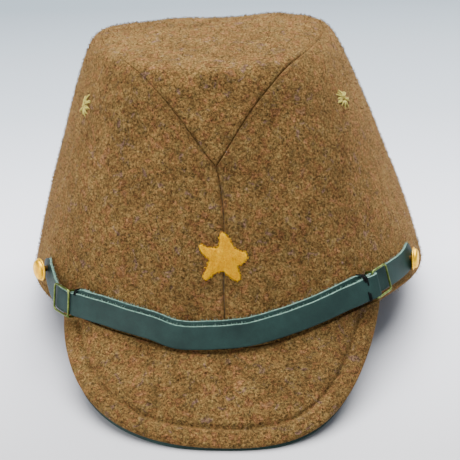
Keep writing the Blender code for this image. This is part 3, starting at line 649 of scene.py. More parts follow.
fibres = fibre_tree()
wool_tones = ((0.00, 82, 76, 72), (0.25, 148, 146, 136), (0.45, 202, 202, 194), (0.62, 228, 212, 204))
wool_tones += ((0.78, 250, 250, 250), (1.00, 255, 255, 255))
# the fibres take on the cloth's colour, painted shade included
wool_fibre = fibre_finish("wool fibres", *wool_tones, under=heather)
for panel, seed in ((side_left, 11), (side_right, 12), (top, 13)):
    nap = grow(panel.name + "_nap", fibres, panel.data, Finish=wool_fibre, Seed=seed)
    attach(nap, "root")

# The peak. The real one is the same wool over a board, sewn into the rim and pressed to a short slope. A
# line of stitching 8.5 mm inside its edge draws the cloth down, and dark green leather lines it underneath.
PEAK_LENGTH = 0.0443
PEAK_SLOPE = math.radians(41.8)
PEAK_BOARD = 0.0026
PEAK_LEATHER = 0.001
PEAK_CORNER_LEFT = math.radians(49.2)
PEAK_CORNER_RIGHT = math.radians(43.4)
PEAK_TUCK = 0.004
PEAK_TUCK_EDGE = 0.0012
PEAK_SKEW = 0.185
PEAK_DRIFT = 0.006
PEAK_SQUARENESS = 3.97
PEAK_ROUNDING = 1.64
PEAK_STITCH_INSIDE = 0.0085
PEAK_STITCH_DEPTH = 0.0011
PEAK_STITCH_WIDTH = 0.0011
PEAK_EDGE_SWELL = 0.0006
PEAK_SWELL_WIDTH = 0.006
# painted shade in the groove of the peak's stitching
PEAK_STITCH_SHADE = 0.12
PEAK_ROOT_FADE = 0.003
PEAK_CLOTH_END = 0.996  # the shares of the way to its corners where its cloth and its leather end
PEAK_LEATHER_END = 0.978
PEAK_NOSE_NAP = 9  # how many rows of its rounded edge carry nap, down from its upper face
LEATHER_SHOWS = 0.0005  # how far the leather stands out past the cloth's edge
# share across the peak, how far its cloth turns up in front of the crown's edge before it goes into the seam
PEAK_TURN_UP = (
    (-1.0, 0.0010), (-0.85, 0.0022), (-0.6, 0.0024), (-0.44, 0.0022), (-0.3, 0.0010), (-0.2, 0.0),
    (0.12, 0.0), (0.3, 0.0012), (0.5, 0.0024), (0.85, 0.0028), (1.0, 0.0010),
)
PEAK_TURN_UP_FADE = 0.004
PEAK_TURN_UP_LEAN = 0.3
# painted shade: share across the peak, how much darker its cloth is painted there, most at its right side
PEAK_SHADE = ((-1.0, 0.04), (-0.5, 0.06), (0.0, 0.08), (0.5, 0.15), (0.8, 0.2), (1.0, 0.2))


def peak_length(share):
    """The peak's length down its slope. The share is -1 and 1 at its corners."""
    outline = np.maximum(1 - np.abs(share) ** PEAK_SQUARENESS, 0.0) ** (1 / PEAK_ROUNDING)
    return PEAK_LENGTH * outline * (1 + PEAK_SKEW * share)


def peak_frame(share):
    """Where the peak leaves the rim, with the directions into the cap, down the peak and out of its face."""
    turn = share * np.where(share < 0, PEAK_CORNER_LEFT, PEAK_CORNER_RIGHT)
    point, around, _, out = crown_frame(turn, 0.0)
    inwards = -unit(out * np.array([1, 1, 0]))
    down = unit(np.array([-PEAK_DRIFT / PEAK_LENGTH, -math.cos(PEAK_SLOPE), -math.sin(PEAK_SLOPE)]))
    return point - np.array([0, 0, FIT]), inwards, down, unit(np.cross(down, around))


def peak_shares(end, count):
    widest = math.radians(84)
    return end * np.sin(np.linspace(-widest, widest, count)) / math.sin(widest)


edge_shares = peak_shares(1.0, 400)
edge_root, _, peak_down, _ = peak_frame(edge_shares)
peak_edge = edge_root + peak_down * peak_length(edge_shares)[:, None]


def tube_faces(rings, sides):
    """Quads between neighbouring rings of points, closed at both ends."""
    faces = []
    for ring in range(rings - 1):
        start, following = ring * sides, (ring + 1) * sides
        for side in range(sides):
            beside = (side + 1) % sides
            faces.append((start + side, start + beside, following + beside, following + side))
    faces.append(tuple(reversed(range(sides))))
    faces.append(tuple(range((rings - 1) * sides, rings * sides)))
    return faces


def peak_cloth(name):
    shares = peak_shares(PEAK_CLOTH_END, 181)
    root, inwards, down, out = peak_frame(shares)
    length = peak_length(shares)
    nose = np.minimum(PEAK_BOARD / 2, length * 0.4)
    flat = length - nose
    rows = np.linspace(0, 1, 76)
    upper = root[:, None] + down * (flat[:, None] * rows)[..., None]
    to_edge = distance_to(upper, peak_edge)
    stitched = np.exp(-(((to_edge - PEAK_STITCH_INSIDE) / PEAK_STITCH_WIDTH) ** 2))
    swell = PEAK_EDGE_SWELL * np.sin(np.pi * np.clip(to_edge / PEAK_STITCH_INSIDE, 0, 1)) ** 0.8
    inside = smooth_step(to_edge, PEAK_STITCH_INSIDE, PEAK_STITCH_INSIDE + PEAK_SWELL_WIDTH)
    fade = smooth_step(rows * flat[:, None], 0, PEAK_ROOT_FADE)
    relief = (swell + PEAK_EDGE_SWELL * inside - PEAK_STITCH_DEPTH * stitched + uneven(upper)) * fade
    upper = upper + out[:, None] * relief[..., None]
    turned_up = along_rows(PEAK_TURN_UP, shares)[0][:, None]
    turned_up = (turned_up * (1 - smooth_step(rows * flat[:, None], 0, PEAK_TURN_UP_FADE)))[..., None]
    upper = upper + np.array([0, 0, 1]) * turned_up - inwards[:, None] * PEAK_TURN_UP_LEAN * turned_up
    angles = np.linspace(np.pi / 2, -np.pi / 2, 13)[1:]
    middle = root + down * flat[:, None] - out * PEAK_BOARD / 2
    front = down * (nose[:, None] * np.cos(angles))[..., None]
    rounded = middle[:, None] + front + out[:, None] * (PEAK_BOARD / 2 * np.sin(angles))[:, None]
    under = root[:, None] + down * (flat[:, None] * np.linspace(1, 0, 12)[1:])[..., None]
    under = under - out[:, None] * PEAK_BOARD
    tuck_high = (root + inwards * PEAK_TUCK)[:, None]
    tuck_low = tuck_high - np.array([0, 0, PEAK_TUCK_EDGE])
    rings = np.concatenate([tuck_high, root[:, None], upper, rounded, under, tuck_low], axis=1)
    first = 2
    last = first + upper.shape[1]
    nap = np.zeros(rings.shape[:2])
    nap[:, first : last + PEAK_NOSE_NAP] = 1
    # painted shade across the peak, and in its stitched groove
    shade = along_rows(PEAK_SHADE, shares)[0][:, None] + np.zeros(rings.shape[:2])
    shade[:, first:last] += PEAK_STITCH_SHADE * stitched
    points = stand(rings, pressed=True)
    # The rings run over the top first, and from -X to +X, so tube_faces would make them look inwards
    faces = [tuple(reversed(face)) for face in tube_faces(len(shares), rings.shape[1])]
    return new_piece(name, points, faces, [wool], attributes={"nap": nap, "shade": shade})


def spread_over(tree, noise_socket, low, high):
    """The middle of a noise's range, spread over another one."""
    sockets = {"Value": noise_socket, "From Min": 0.3, "From Max": 0.7, "To Min": low, "To Max": high}
    return put(tree, "ShaderNodeMapRange", sockets).outputs["Result"]


def green_leather_finish():
    leather, tree, shader = new_finish("dark green leather", Roughness=0.6)
    sockets = {"Value": mark_of(tree, "bend"), "To Min": 0.26, "To Max": 0.0}
    dulled = put(tree, "ShaderNodeMapRange", sockets).outputs["Result"]
    tree.links.new(dulled, shader.inputs["Specular IOR Level"])
    pores = mottle(tree, 1900, 3.0, 0.6, warp=0.3)
    tone = ramp(tree, mottle(tree, 90, 3.0, 0.6, (0.2, 0.4, 0.1)), (0.3, 17, 40, 37), (0.7, 30, 57, 53))
    worn = ramp(tree, pores, (0.35, 190, 196, 196), (0.6, 255, 255, 255))
    tree.links.new(spread_over(tree, pores, 0.54, 0.72), shader.inputs["Roughness"])
    coat(tree, shader, times(tree, tone, worn, 0.6), pores, 0.00012, 0.5)
    return leather


green_leather = green_leather_finish()


def peak_lining(name):
    shares = peak_shares(PEAK_LEATHER_END, 121)
    root, _, down, out = peak_frame(shares)
    start = PEAK_BOARD / 2
    end = peak_length(shares) + LEATHER_SHOWS
    way = start + (end - start)[:, None] * np.linspace(0, 1, 16)
    upper = root[:, None] + down * way[..., None] - out[:, None] * (PEAK_BOARD + FIT)
    nose = root + down * (end + PEAK_LEATHER * 0.3)[:, None] - out * (PEAK_BOARD + FIT + PEAK_LEATHER / 2)
    lower = upper[:, ::-1] - out[:, None] * PEAK_LEATHER
    rings = np.concatenate([upper, nose[:, None], lower], axis=1)
    faces = [tuple(reversed(face)) for face in tube_faces(len(shares), rings.shape[1])]
    return new_piece(name, stand(rings, pressed=True), faces, [green_leather])


peak = peak_cloth("peak_cloth")
lining = peak_lining("peak_leather")
for piece, node, slot in ((peak, "peak", "wool"), (lining, "peak_underside", "peak_leather")):
    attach(piece, "root")
    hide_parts(node)
peak_nap = grow("peak_cloth_nap", fibres, peak.data, Finish=wool_fibre, Seed=14)
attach(peak_nap, "root")

# The chin strap. The real one is two lengths of dark green leather, cut raw so that their edges show pale.
# Each is buttoned to the cap at one end and folded round a wire slide's bar at the other, and they slide
# along each other.
STRAP_WIDTH = 0.0105
STRAP_LEATHER = 0.0012
STRAP_STEP = 0.0020
STRAP_STAGE = 0.07
STRAP_RAMP = 0.010
STRAP_EDGE_ROUND = 0.00035
STRAP_END_SQUARENESS = 5.5
STRAP_ACROSS = 13
STRAP_CROWN = 0.00008
STRAP_WANDER = 0.00012  # how unevenly its edges are cut, and over what length
STRAP_WANDER_LENGTH = 0.006
STRAP_BEND_WIDTH = 0.0013
STRAP_PROBE = 0.0002
STRAP_NECK = 0.0002  # how far each of its edges is drawn in where it passes through a slide
STRAP_NECK_LENGTH = 0.0026
STRAP_UPRIGHT = 0.12
STRAP_UPRIGHT_LENGTH = 0.014
STRAP_STATION = 0.0009
SLIDE_REACH_LEFT = 0.0725
SLIDE_REACH_RIGHT = 0.0685
SLIDE_LENGTH = 0.0104
SLIDE_WIRE = 0.001
SLIDE_CORNER = 0.0018
SLIDE_ROOM = 0.0003  # the wire runs close over the leather's edges
FOLD_LENGTH = 0.0075
FOLD_EASE = 0.004
BUTTON_REACH_LEFT = 0.1023
BUTTON_REACH_RIGHT = 0.1040
SHANK_DIAMETER = 0.0026
# along from the left button to the right one, then in strap widths how far its middle drifts to +X where its
# end turns up, and its middle's height over the rim
STRAP_RESTS = (
    (-1.05, 0.43, 1.68),
    (-1.00, 0.15, 1.26),
    (-0.94, 0.04, 0.98),
    (-0.885, 0.00, 0.81),
    (-0.84, 0.00, 0.71),
    (-0.79, 0.00, 0.65),
    (-0.73, 0.00, 0.68),
    (-0.61, 0.00, 0.76),
    (-0.47, 0.00, 0.78),
    (-0.325, 0.00, 0.72),
    (-0.215, 0.00, 0.50),
    (-0.075, 0.00, 0.52),
    (0.08, 0.00, 0.57),
    (0.195, 0.00, 0.69),
    (0.335, 0.00, 0.79),
    (0.61, 0.00, 0.88),
    (0.76, 0.00, 0.88),
    (0.93, 0.00, 0.88),
    (1.00, 0.00, 0.98),
    (1.05, 0.00, 1.12),
)

wall_turns = np.radians(np.arange(0, 120.1, 0.5))
wall_steps = np.linalg.norm(np.diff(crown_skin(wall_turns, STRAP_STAGE), axis=0), axis=-1)
wall_lengths = np.concatenate([[0], np.cumsum(wall_steps)])


def wall_place(along, height, lift, off):
    """Points on or over the wall: along it from the middle seam, above the rim, then up and out there."""
    along = np.asarray(along, float)
    turn = np.sign(along) * np.interp(np.abs(along), wall_lengths, wall_turns)
    stage = height / (top_level(turn) - rim_level(turn))
    point, _, upwards, out = crown_frame(turn, stage)
    return point + upwards * np.asarray(lift)[..., None] + out * np.asarray(off)[..., None]


def strap_middle(along):
    """The strap's middle line as lengths along the wall and above the rim."""
    reach = np.where(along < 0, BUTTON_REACH_LEFT, BUTTON_REACH_RIGHT)
    drift, height = along_rows(STRAP_RESTS, along / reach)
    return np.stack([along + drift * STRAP_WIDTH, height * STRAP_WIDTH], -1)


def stood_off(along, edge):
    """The strap's left end stands upright, so that its upper edge leaves the sloping wall."""
    upright = smooth_step(-along, SLIDE_REACH_LEFT - STRAP_UPRIGHT_LENGTH, SLIDE_REACH_LEFT)
    return STRAP_UPRIGHT * (edge + STRAP_WIDTH / 2) * upright


def strap_place(along, edge, off):
    """Points on or over the strap: along it, across it from its middle line, and out from the wall."""
    along, edge, off = np.broadcast_arrays(np.asarray(along, float), edge, off)
    middle = strap_middle(along)
    way = unit(strap_middle(along + STRAP_PROBE) - strap_middle(along - STRAP_PROBE))
    off = off + stood_off(along, edge)
    return wall_place(middle[..., 0] - way[..., 1] * edge, middle[..., 1], way[..., 0] * edge, off)


LOW = FIT + STRAP_LEATHER / 2
LAYER = STRAP_LEATHER + FIT
FOLD_WIDTH = SLIDE_WIRE + 2 * FIT + STRAP_LEATHER
BAR_LEFT = -SLIDE_REACH_LEFT
BAR_RIGHT = SLIDE_REACH_RIGHT


def back_off(along):
    """The back length lies on its own flap at the left slide and on the slide's rear bar at the right one."""
    on_flap = LAYER * (1 - smooth_step(along, BAR_LEFT + FOLD_LENGTH, BAR_LEFT + FOLD_LENGTH + STRAP_RAMP))
    fold_end = BAR_LEFT + SLIDE_WIRE
    round_bar = (FOLD_WIDTH - LAYER) * (1 - smooth_step(along, fold_end, fold_end + FOLD_EASE))
    to_rear_bar = smooth_step(along, BAR_RIGHT - FOLD_LENGTH - STRAP_RAMP, BAR_RIGHT - SLIDE_WIRE)
    from_rear_bar = 1 - smooth_step(along, BAR_RIGHT + SLIDE_WIRE, BUTTON_REACH_RIGHT - SHANK_DIAMETER)
    return LOW + on_flap + round_bar + (SLIDE_WIRE + FIT) * to_rear_bar * from_rear_bar


def front_off(along):
    """The front length lies on the back one, and at the right slide on its own flap."""
    on_back = smooth_step(along, -BUTTON_REACH_LEFT + SHANK_DIAMETER, BAR_LEFT - SHANK_DIAMETER)
    back_there = back_off(np.maximum(along, BAR_LEFT)) + LAYER
    on_flap = LAYER * smooth_step(along, BAR_RIGHT - FOLD_LENGTH - STRAP_RAMP, BAR_RIGHT - FOLD_LENGTH)
    fold_start = BAR_RIGHT - SLIDE_WIRE
    round_bar = (FOLD_WIDTH - LAYER) * smooth_step(along, fold_start - FOLD_EASE, fold_start)
    return LOW + (back_there - LOW) * on_back + on_flap + round_bar


def back_lift(along):
    """The back length stands a little above the front one between the slides."""
    left = smooth_step(along, BAR_LEFT + SLIDE_WIRE / 2, BAR_LEFT + FOLD_LENGTH / 2)
    return STRAP_STEP * left * (1 - smooth_step(along, BAR_RIGHT - FOLD_LENGTH, BAR_RIGHT - SLIDE_WIRE))


def raw_edge_finish():
    edge, tree, shader = new_finish("raw leather edge", Roughness=0.85, Specular_IOR_Level=0.2)
    shreds = mottle(tree, 1300, 4.0, 0.7, stretch=(1, 1, 0.4), warp=1.0)
    tones = ramp(tree, shreds, (0.36, 52, 82, 74), (0.5, 98, 130, 118), (0.64, 138, 164, 150))
    coat(tree, shader, tones, shreds, 0.0003, 0.9)
    return edge


raw_edge = raw_edge_finish()


def strap_path(start, bar, off_at):
    """The middle of a strap's leather as (along, off) rows, from its button end round the bar to its flap."""
    ahead = math.copysign(1, bar - start)
    cut_end = STRAP_WIDTH / 2 * (1 - np.cos(np.linspace(0, math.pi / 2, 10)))
    length = abs(bar - start)
    onwards = np.linspace(cut_end[-1], length, int(length / STRAP_STATION))[1:]
    stations = start + ahead * np.concatenate([cut_end, onwards])
    radius = FOLD_WIDTH / 2
    angles = np.pi * np.arange(1, 16) / 16
    fold_off = off_at(np.array(bar)) - radius + radius * np.cos(angles)
    flap = bar - ahead * np.linspace(0, FOLD_LENGTH, 9)
    along = np.concatenate([stations, bar + ahead * radius * np.sin(angles), flap])
    off = np.concatenate([off_at(stations), fold_off, 0 * flap + off_at(np.array(bar)) - FOLD_WIDTH])
    return along, off


def strap(name, start, bar, off_at, lift_at):
    """One length of leather. Its button end is cut square with soft corners, and its edges are left raw."""
    along, off = strap_path(start, bar, off_at)
    ahead, outwards = np.gradient(along), np.gradient(off)
    length = np.hypot(ahead, outwards)
    hand = math.copysign(1, bar - start)
    normal_along, normal_off = -outwards / length * hand, ahead / length * hand
    half, thick = STRAP_WIDTH / 2, STRAP_LEATHER / 2
    from_end = np.where(np.arange(len(along)) < len(along) // 2, np.abs(along - start), STRAP_WIDTH)
    short = np.clip(1 - from_end / half, 0, 1)
    width = half * np.maximum(1 - short**STRAP_END_SQUARENESS, 0.02) ** (1 / STRAP_END_SQUARENESS)
    for place in (BAR_LEFT, BAR_RIGHT):
        width = width - STRAP_NECK * np.exp(-(((along - place) / STRAP_NECK_LENGTH) ** 2))
    rounding = np.radians([-60, -30, 0, 30, 60])
    insets = STRAP_EDGE_ROUND * (1 - np.cos(rounding))
    across = np.linspace(-1, 1, STRAP_ACROSS)
    # share of the width, inset from the edge, depth, whether on a raw edge
    section = [(share, 0.7 * STRAP_EDGE_ROUND * (abs(share) == 1), thick, 0) for share in across]
    section += [(1, inset, -thick * math.sin(angle), 1) for angle, inset in zip(rounding, insets)]
    section += [(-share, inset, -thick, 0) for share, inset, _, _ in section[:STRAP_ACROSS]]
    section += [(-1, inset, thick * math.sin(angle), 1) for angle, inset in zip(rounding, insets)]
    share, inset, depth, raw = (np.array(column, float) for column in zip(*section))
    depth = depth + STRAP_CROWN * (1 - share**2) * np.sign(depth) * (1 - raw)
    places = [Vector((place / STRAP_WANDER_LENGTH, half * hand, 0)) for place in along]
    wander = STRAP_WANDER * np.array([noise.noise(place) for place in places])
    edge = share * np.maximum((width + wander)[:, None] - inset, 0.0002)
    points = strap_place(
        along[:, None] + normal_along[:, None] * depth,
        lift_at(along)[:, None] + edge,
        off[:, None] + normal_off[:, None] * depth,
    )
    faces = tube_faces(len(along), len(section))
    # The lower raw edge is painted with the face's dark leather, as painted shade, since it lies in shadow
    # under the strap
    pale = raw * (share > 0)
    around = [int(max(pale[side], pale[side - len(section) + 1])) for side in range(len(section))]
    marks = around * (len(along) - 1) + [1, 1]
    if hand > 0:
        faces = [tuple(reversed(face)) for face in faces]
    bend = np.exp(-(((along - bar - math.copysign(FOLD_WIDTH / 2, bar - start)) / STRAP_BEND_WIDTH) ** 2))
    attributes = {"nap": np.tile(pale, len(along)), "bend": np.repeat(bend, len(share))}
    return new_piece(name, stand(points), faces, [green_leather, raw_edge], marks, attributes)


END_LEFT = -BUTTON_REACH_LEFT - 0.0043
END_RIGHT = BUTTON_REACH_RIGHT + 0.0052
front_strap = strap("front_strap", END_LEFT, BAR_RIGHT, front_off, lambda along: 0 * along)
back_strap = strap("back_strap", END_RIGHT, BAR_LEFT, back_off, back_lift)
for piece, node in ((front_strap, "strap_front"), (back_strap, "strap_back")):
    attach(piece, "root")
    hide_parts(node)

raw_tones = ((0.0, 76, 108, 97), (0.6, 128, 158, 144), (1.0, 158, 182, 168))
raw_fibre = fibre_finish("raw leather fibres", *raw_tones)
shred = {"Density": 1500000.0, "Length": 0.0008, "Thickness": 0.0001, "Lean": 0.2, "Most": 1.4}
for base, seed in ((front_strap, 21), (back_strap, 22)):
    shreds = grow(base.name + "_shreds", fibres, base.data, Finish=raw_fibre, Seed=seed, **shred)
    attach(shreds, "root")

# The two slides. Each is one length of 1 mm brass wire, bent to a frame over the strap with a second bar
# behind it, and dulled to olive. The strap's fold goes round the bar, and the other length runs through.


def rounded_path(corners, closed, steps=6):
    """A wire's middle line through its corners, each turned with the slide's corner radius."""
    path, count = [], len(corners)
    for index, corner in enumerate(corners):
        if not closed and index in (0, count - 1):
            path.append(corner)
            continue
        to_last, to_next = corners[index - 1] - corner, corners[(index + 1) % count] - corner
        radius = min(SLIDE_CORNER, to_last.length * 0.3, to_next.length * 0.3)
        first, last = corner + to_last.normalized() * radius, corner + to_next.normalized() * radius
        for step in range(steps):
            share = step / (steps - 1)
            path.append(first * (1 - share) ** 2 + corner * 2 * share * (1 - share) + last * share**2)
    return path


def dull_brass_finish():
    brass, tree, shader = new_finish("dull brass wire", Metallic=1.0)
    tarnish = mottle(tree, 420, 4.0, 0.65)
    tones = ramp(tree, tarnish, (0.32, 70, 84, 38), (0.52, 102, 116, 58), (0.7, 148, 158, 88))
    tree.links.new(spread_over(tree, tarnish, 0.5, 0.3), shader.inputs["Roughness"])
    coat(tree, shader, tones, mottle(tree, 2600, 2.0), 0.00004, 0.5)
    return brass


dull_brass = dull_brass_finish()


def slide(name, bar, ahead, front_bar_off, outer_bar_off, rear_bar_off):
    """Its bars are parallel, and stand straight up the wall."""
    edge = STRAP_WIDTH / 2 + SLIDE_ROOM + SLIDE_WIRE / 2
    outer = bar + ahead * SLIDE_LENGTH
    ends = []
    for along, off in ((bar, front_bar_off), (outer, outer_bar_off), (bar, rear_bar_off)):
        middle = strap_middle(np.array(along))
        for lift in (-edge, edge):
            ends.append(Vector(stand(wall_place(middle[0], middle[1], lift, off + stood_off(along, lift)))))
    inner_low, inner_high, outer_low, outer_high, rear_low, rear_high = ends
    paths = [
        (rounded_path([inner_low, inner_high, outer_high, outer_low], True), True),
        (rounded_path([inner_low, rear_low, rear_high, inner_high], False), False),
    ]
    return bent_wires(name, paths, SLIDE_WIRE, 4, dull_brass)


def bent_wires(name, paths, thickness, fineness, finish):
    """Round wires or threads along paths, each of them open or closed."""
    curve = bpy.data.curves.new(name, "CURVE")
    curve.dimensions = "3D"
    curve.bevel_depth = thickness / 2
    curve.bevel_resolution = fineness
    curve.use_fill_caps = True
    for path, closed in paths:
        spline = curve.splines.new("POLY")
        spline.points.add(len(path) - 1)
        spline.points.foreach_set("co", [number for point in path for number in (*point, 1)])
        spline.use_cyclic_u = closed
    return kept(name, placed(name, curve), finish)


WIRE_OVER_LEATHER = STRAP_LEATHER / 2 + FIT + SLIDE_WIRE / 2
left_slide = slide(
    "left_slide",
    BAR_LEFT,
    -1,
    front_off(np.array(BAR_LEFT)) + WIRE_OVER_LEATHER,
    front_off(np.array(BAR_LEFT - SLIDE_LENGTH)) + WIRE_OVER_LEATHER + FIT,
    back_off(np.array(BAR_LEFT)) - FOLD_WIDTH / 2,
)
right_slide = slide(
    "right_slide",
    BAR_RIGHT,
    1,
    front_off(np.array(BAR_RIGHT)) - FOLD_WIDTH / 2,
    back_off(np.array(BAR_RIGHT + SLIDE_LENGTH)) + WIRE_OVER_LEATHER + FIT,
    FIT + SLIDE_WIRE / 2,
)
for piece, node in ((left_slide, "slide_left"), (right_slide, "slide_right")):
    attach(piece, "root")
    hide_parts(node)

# The hand stitches. The end of each fold's flap is held with a few turns of waxed black thread, taken over
# the edges of both lengths and down through the leather.
STITCH_THREAD = 0.0007
STITCH_OUT = STITCH_THREAD * 0.4  # how far the thread's middle lies outside the leather
STITCH_TURN = 0.0002  # how far inside an edge the thread turns over onto the leather's face
# along from the slide's inner bar, upper or lower edge, how far the turn runs in over the leather's face
STITCHES_LEFT = ((0.0024, 1, 0.0003), (0.0029, 1, 0.0004))
STITCHES_RIGHT = (
    (-0.0054, 1, 0.0008),
    (-0.0047, 1, 0.0018),
    (-0.0040, 1, 0.0034),
    (-0.0047, -1, 0.0038),
    (-0.0040, -1, 0.0030),
)


def hand_stitches(name, bar, stitches):
    paths = []
    for from_bar, side, run in stitches:
        along = bar + from_bar
        face = float(front_off(np.array(along))) + STRAP_LEATHER / 2 + STITCH_OUT
        lift = float(back_lift(np.array(along))) if side > 0 else 0.0
        rim = STRAP_WIDTH / 2 + lift + STITCH_OUT
        half, under = STRAP_WIDTH / 2, face - STRAP_LEATHER
        corners = ((rim, LOW), (rim, under), (half - STITCH_TURN, face))
        corners += ((half - run, face), (half - run - STITCH_TURN, under))
        path = [Vector(stand(strap_place(along, side * edge, off))) for edge, off in corners]
        paths.append((path, False))
    return bent_wires(name, paths, STITCH_THREAD, 2, waxed_thread)


black = paint(9, 10, 11)
waxed_thread = new_finish("waxed black thread", Roughness=0.8, Specular_IOR_Level=0.1, Base_Color=black)[0]
for side, bar, stitches in (("left", BAR_LEFT, STITCHES_LEFT), ("right", BAR_RIGHT, STITCHES_RIGHT)):
    name = side + "_stitches"
    piece = hand_stitches(name, bar, stitches)
    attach(piece, "root")

# The buttons. Each real one is a small domed button of gilt brass with a flat rim, pressed from sheet. Its
# shank goes through the end of the strap and is sewn to the cap.
BUTTON_DIAMETER = 0.0106
BUTTON_DOME_DIAMETER = 0.0092
BUTTON_DOME = 0.0022
BUTTON_DOME_SQUARENESS = 3.2  # 2 is a round dome, and above that its face is flatter and its shoulder steeper
BUTTON_FLANGE = 0.0008
BUTTON_FOOT = 0.82  # the share of its flange at which the dome starts, after a fine groove
BUTTON_GROOVE = 0.00015
BUTTON_LIFT_LEFT = 0.0028  # how far its shank holds it off the leather
BUTTON_LIFT_RIGHT = 0.0009
BUTTON_SAG_RIGHT = 0.0008  # how far down the strap it has dropped on its shank
BUTTON_TILT_LEFT = math.radians(10)  # how far it has turned on its shank, to +X
BUTTON_TILT_RIGHT = math.radians(8)
BUTTON_DROOP_RIGHT = math.radians(18)  # how far its face hangs down
BUTTON_SIDES = 64
BUTTON_EDGE_STEPS = 8
BUTTON_DOME_STEPS = 18


def gilt_finish():
    gilt, tree, shader = new_finish("gilt brass", Metallic=1.0)
    tarnish = mottle(tree, 260, 4.0, 0.7)
    tones = ramp(tree, tarnish, (0.3, 214, 150, 8), (0.55, 255, 200, 20), (0.75, 255, 214, 44))
    tree.links.new(spread_over(tree, tarnish, 0.56, 0.42), shader.inputs["Roughness"])
    coat(tree, shader, tones, mottle(tree, 500, 2.0), 0.00006, 0.5)
    return gilt


gilt = gilt_finish()
# The shank is the button's own gilt brass, painted dull brown as painted shade, since it lies in shadow
# behind the button
painted_shade_shank_brass = new_finish("shank brass in painted shade", Metallic=0.6, Roughness=0.6, Base_Color=paint(104, 76, 36))[0]


def button(name, reach, sag, tilt, droop, lift):
    """Turned from its profile about the middle of its button hole."""
    middle = strap_place(reach, -sag, 0.0)
    across = unit(strap_place(reach + SHANK_DIAMETER, -sag, 0.0) - middle)
    out = unit(np.cross(across, unit(strap_place(reach, SHANK_DIAMETER - sag, 0.0) - middle)))
    straight = out
    out = straight * math.cos(tilt) + across * math.sin(tilt)
    across = across * math.cos(tilt) - straight * math.sin(tilt)
    out = out * math.cos(droop) - np.cross(out, across) * math.sin(droop)
    seat = 2 * FIT + STRAP_LEATHER + lift
    radius, shank, dome = BUTTON_DIAMETER / 2, SHANK_DIAMETER / 2, BUTTON_DOME_DIAMETER / 2
    edge = BUTTON_FLANGE / 2
    profile = [(0, FIT), (shank, FIT), (shank, seat), (radius - edge, seat)]
    for step in range(1, BUTTON_EDGE_STEPS + 1):
        angle = math.pi * (step / BUTTON_EDGE_STEPS - 0.5)
        profile.append((radius - edge + edge * math.cos(angle), seat + edge + edge * math.sin(angle)))
    foot = seat + BUTTON_FLANGE * BUTTON_FOOT
    profile.append((dome + BUTTON_GROOVE, foot))
    for step in range(1, BUTTON_DOME_STEPS):
        angle = math.pi / 2 * step / BUTTON_DOME_STEPS
        wide, high = (one ** (2 / BUTTON_DOME_SQUARENESS) for one in (math.cos(angle), math.sin(angle)))
        profile.append((dome * wide, foot + BUTTON_DOME * high))
    profile.append((0, foot + BUTTON_DOME))
    points, rows, faces = [], [], []
    for from_axis, height in profile:
        ring = 1 if from_axis == 0 else BUTTON_SIDES
        rows.append(list(range(len(points), len(points) + ring)))
        for side in range(ring):
            angle = 2 * math.pi * side / BUTTON_SIDES
            way = across * math.cos(angle) + np.cross(out, across) * math.sin(angle)
            points.append(middle + way * from_axis + out * height)
    for low, high in zip(rows, rows[1:]):
        for side in range(BUTTON_SIDES):
            beside = (side + 1) % BUTTON_SIDES
            corners = (low[side % len(low)], low[beside % len(low)])
            corners += (high[beside % len(high)], high[side % len(high)])
            faces.append(tuple(dict.fromkeys(corners)))
    # the faces of the cap and the shank take the brass in painted shade
    marks = [1] * (2 * BUTTON_SIDES) + [0] * (len(faces) - 2 * BUTTON_SIDES)
    return new_piece(name, stand(points), faces, [gilt, painted_shade_shank_brass], marks)


left_button = button("left_button", -BUTTON_REACH_LEFT, 0.0, BUTTON_TILT_LEFT, 0.0, BUTTON_LIFT_LEFT)
right_turn = (BUTTON_SAG_RIGHT, BUTTON_TILT_RIGHT, BUTTON_DROOP_RIGHT)
right_button = button("right_button", BUTTON_REACH_RIGHT, *right_turn, BUTTON_LIFT_RIGHT)
for piece, node in ((left_button, "button_left"), (right_button, "button_right")):
    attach(piece, "root")
    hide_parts(node)

# The star. The real one is cut from golden yellow felt and sewn to the front with thread of the same colour.
# Its points are blunt and a little frayed.
STAR_HEIGHT = 0.0389
STAR_CLOTH = 0.0009
STAR_SWELL = 0.0005
STAR_LUMPS = 0.00018
STAR_RAGGED = 0.00035
# the hand-cut corners anticlockwise from the right arm, in millimetres to the right and up from the middle
STAR_CORNERS = (
    (11.1, -1.0), (10.7, 0.9), (8.2, 1.9), (5.9, 3.1), (4.6, 5.1), (3.4, 7.1), (1.3, 9.8), (-0.7, 9.8),
    (-0.9, 8.0), (-1.4, 5.0), (-2.7, 4.1), (-6.7, 4.0), (-10.2, 5.3), (-11.2, 4.2), (-8.9, 1.3),
    (-6.4, -0.9), (-8.4, -4.9), (-9.7, -7.8), (-8.7, -9.1), (-5.0, -6.8), (-0.7, -5.6), (2.5, -8.1),
    (5.7, -10.1), (7.4, -9.3), (6.5, -5.2), (6.4, -3.9), (9.1, -2.7),
)


def star_outline():
    """A smooth closed line through the corners, with the ragged edge of cut felt."""
    corners = np.array(STAR_CORNERS) / 1000
    line = []
    for index in range(len(corners)):
        before, here, following, after = (corners[(index + step) % len(corners)] for step in (-1, 0, 1, 2))
        for share in np.arange(0, 1, 0.1):
            curve = 2 * here + (following - before) * share
            curve += (2 * before - 5 * here + 4 * following - after) * share**2
            curve += (3 * here - before - 3 * following + after) * share**3
            line.append(curve / 2)
    line = np.array(line)
    out = unit(np.roll(line, -1, axis=0) - np.roll(line, 1, axis=0))[:, ::-1] * np.array([1, -1])
    ragged = np.array([noise.noise(Vector((x * 1100, y * 1100, 3.0))) for x, y in line])
    return line + out * STAR_RAGGED * ragged[:, None]


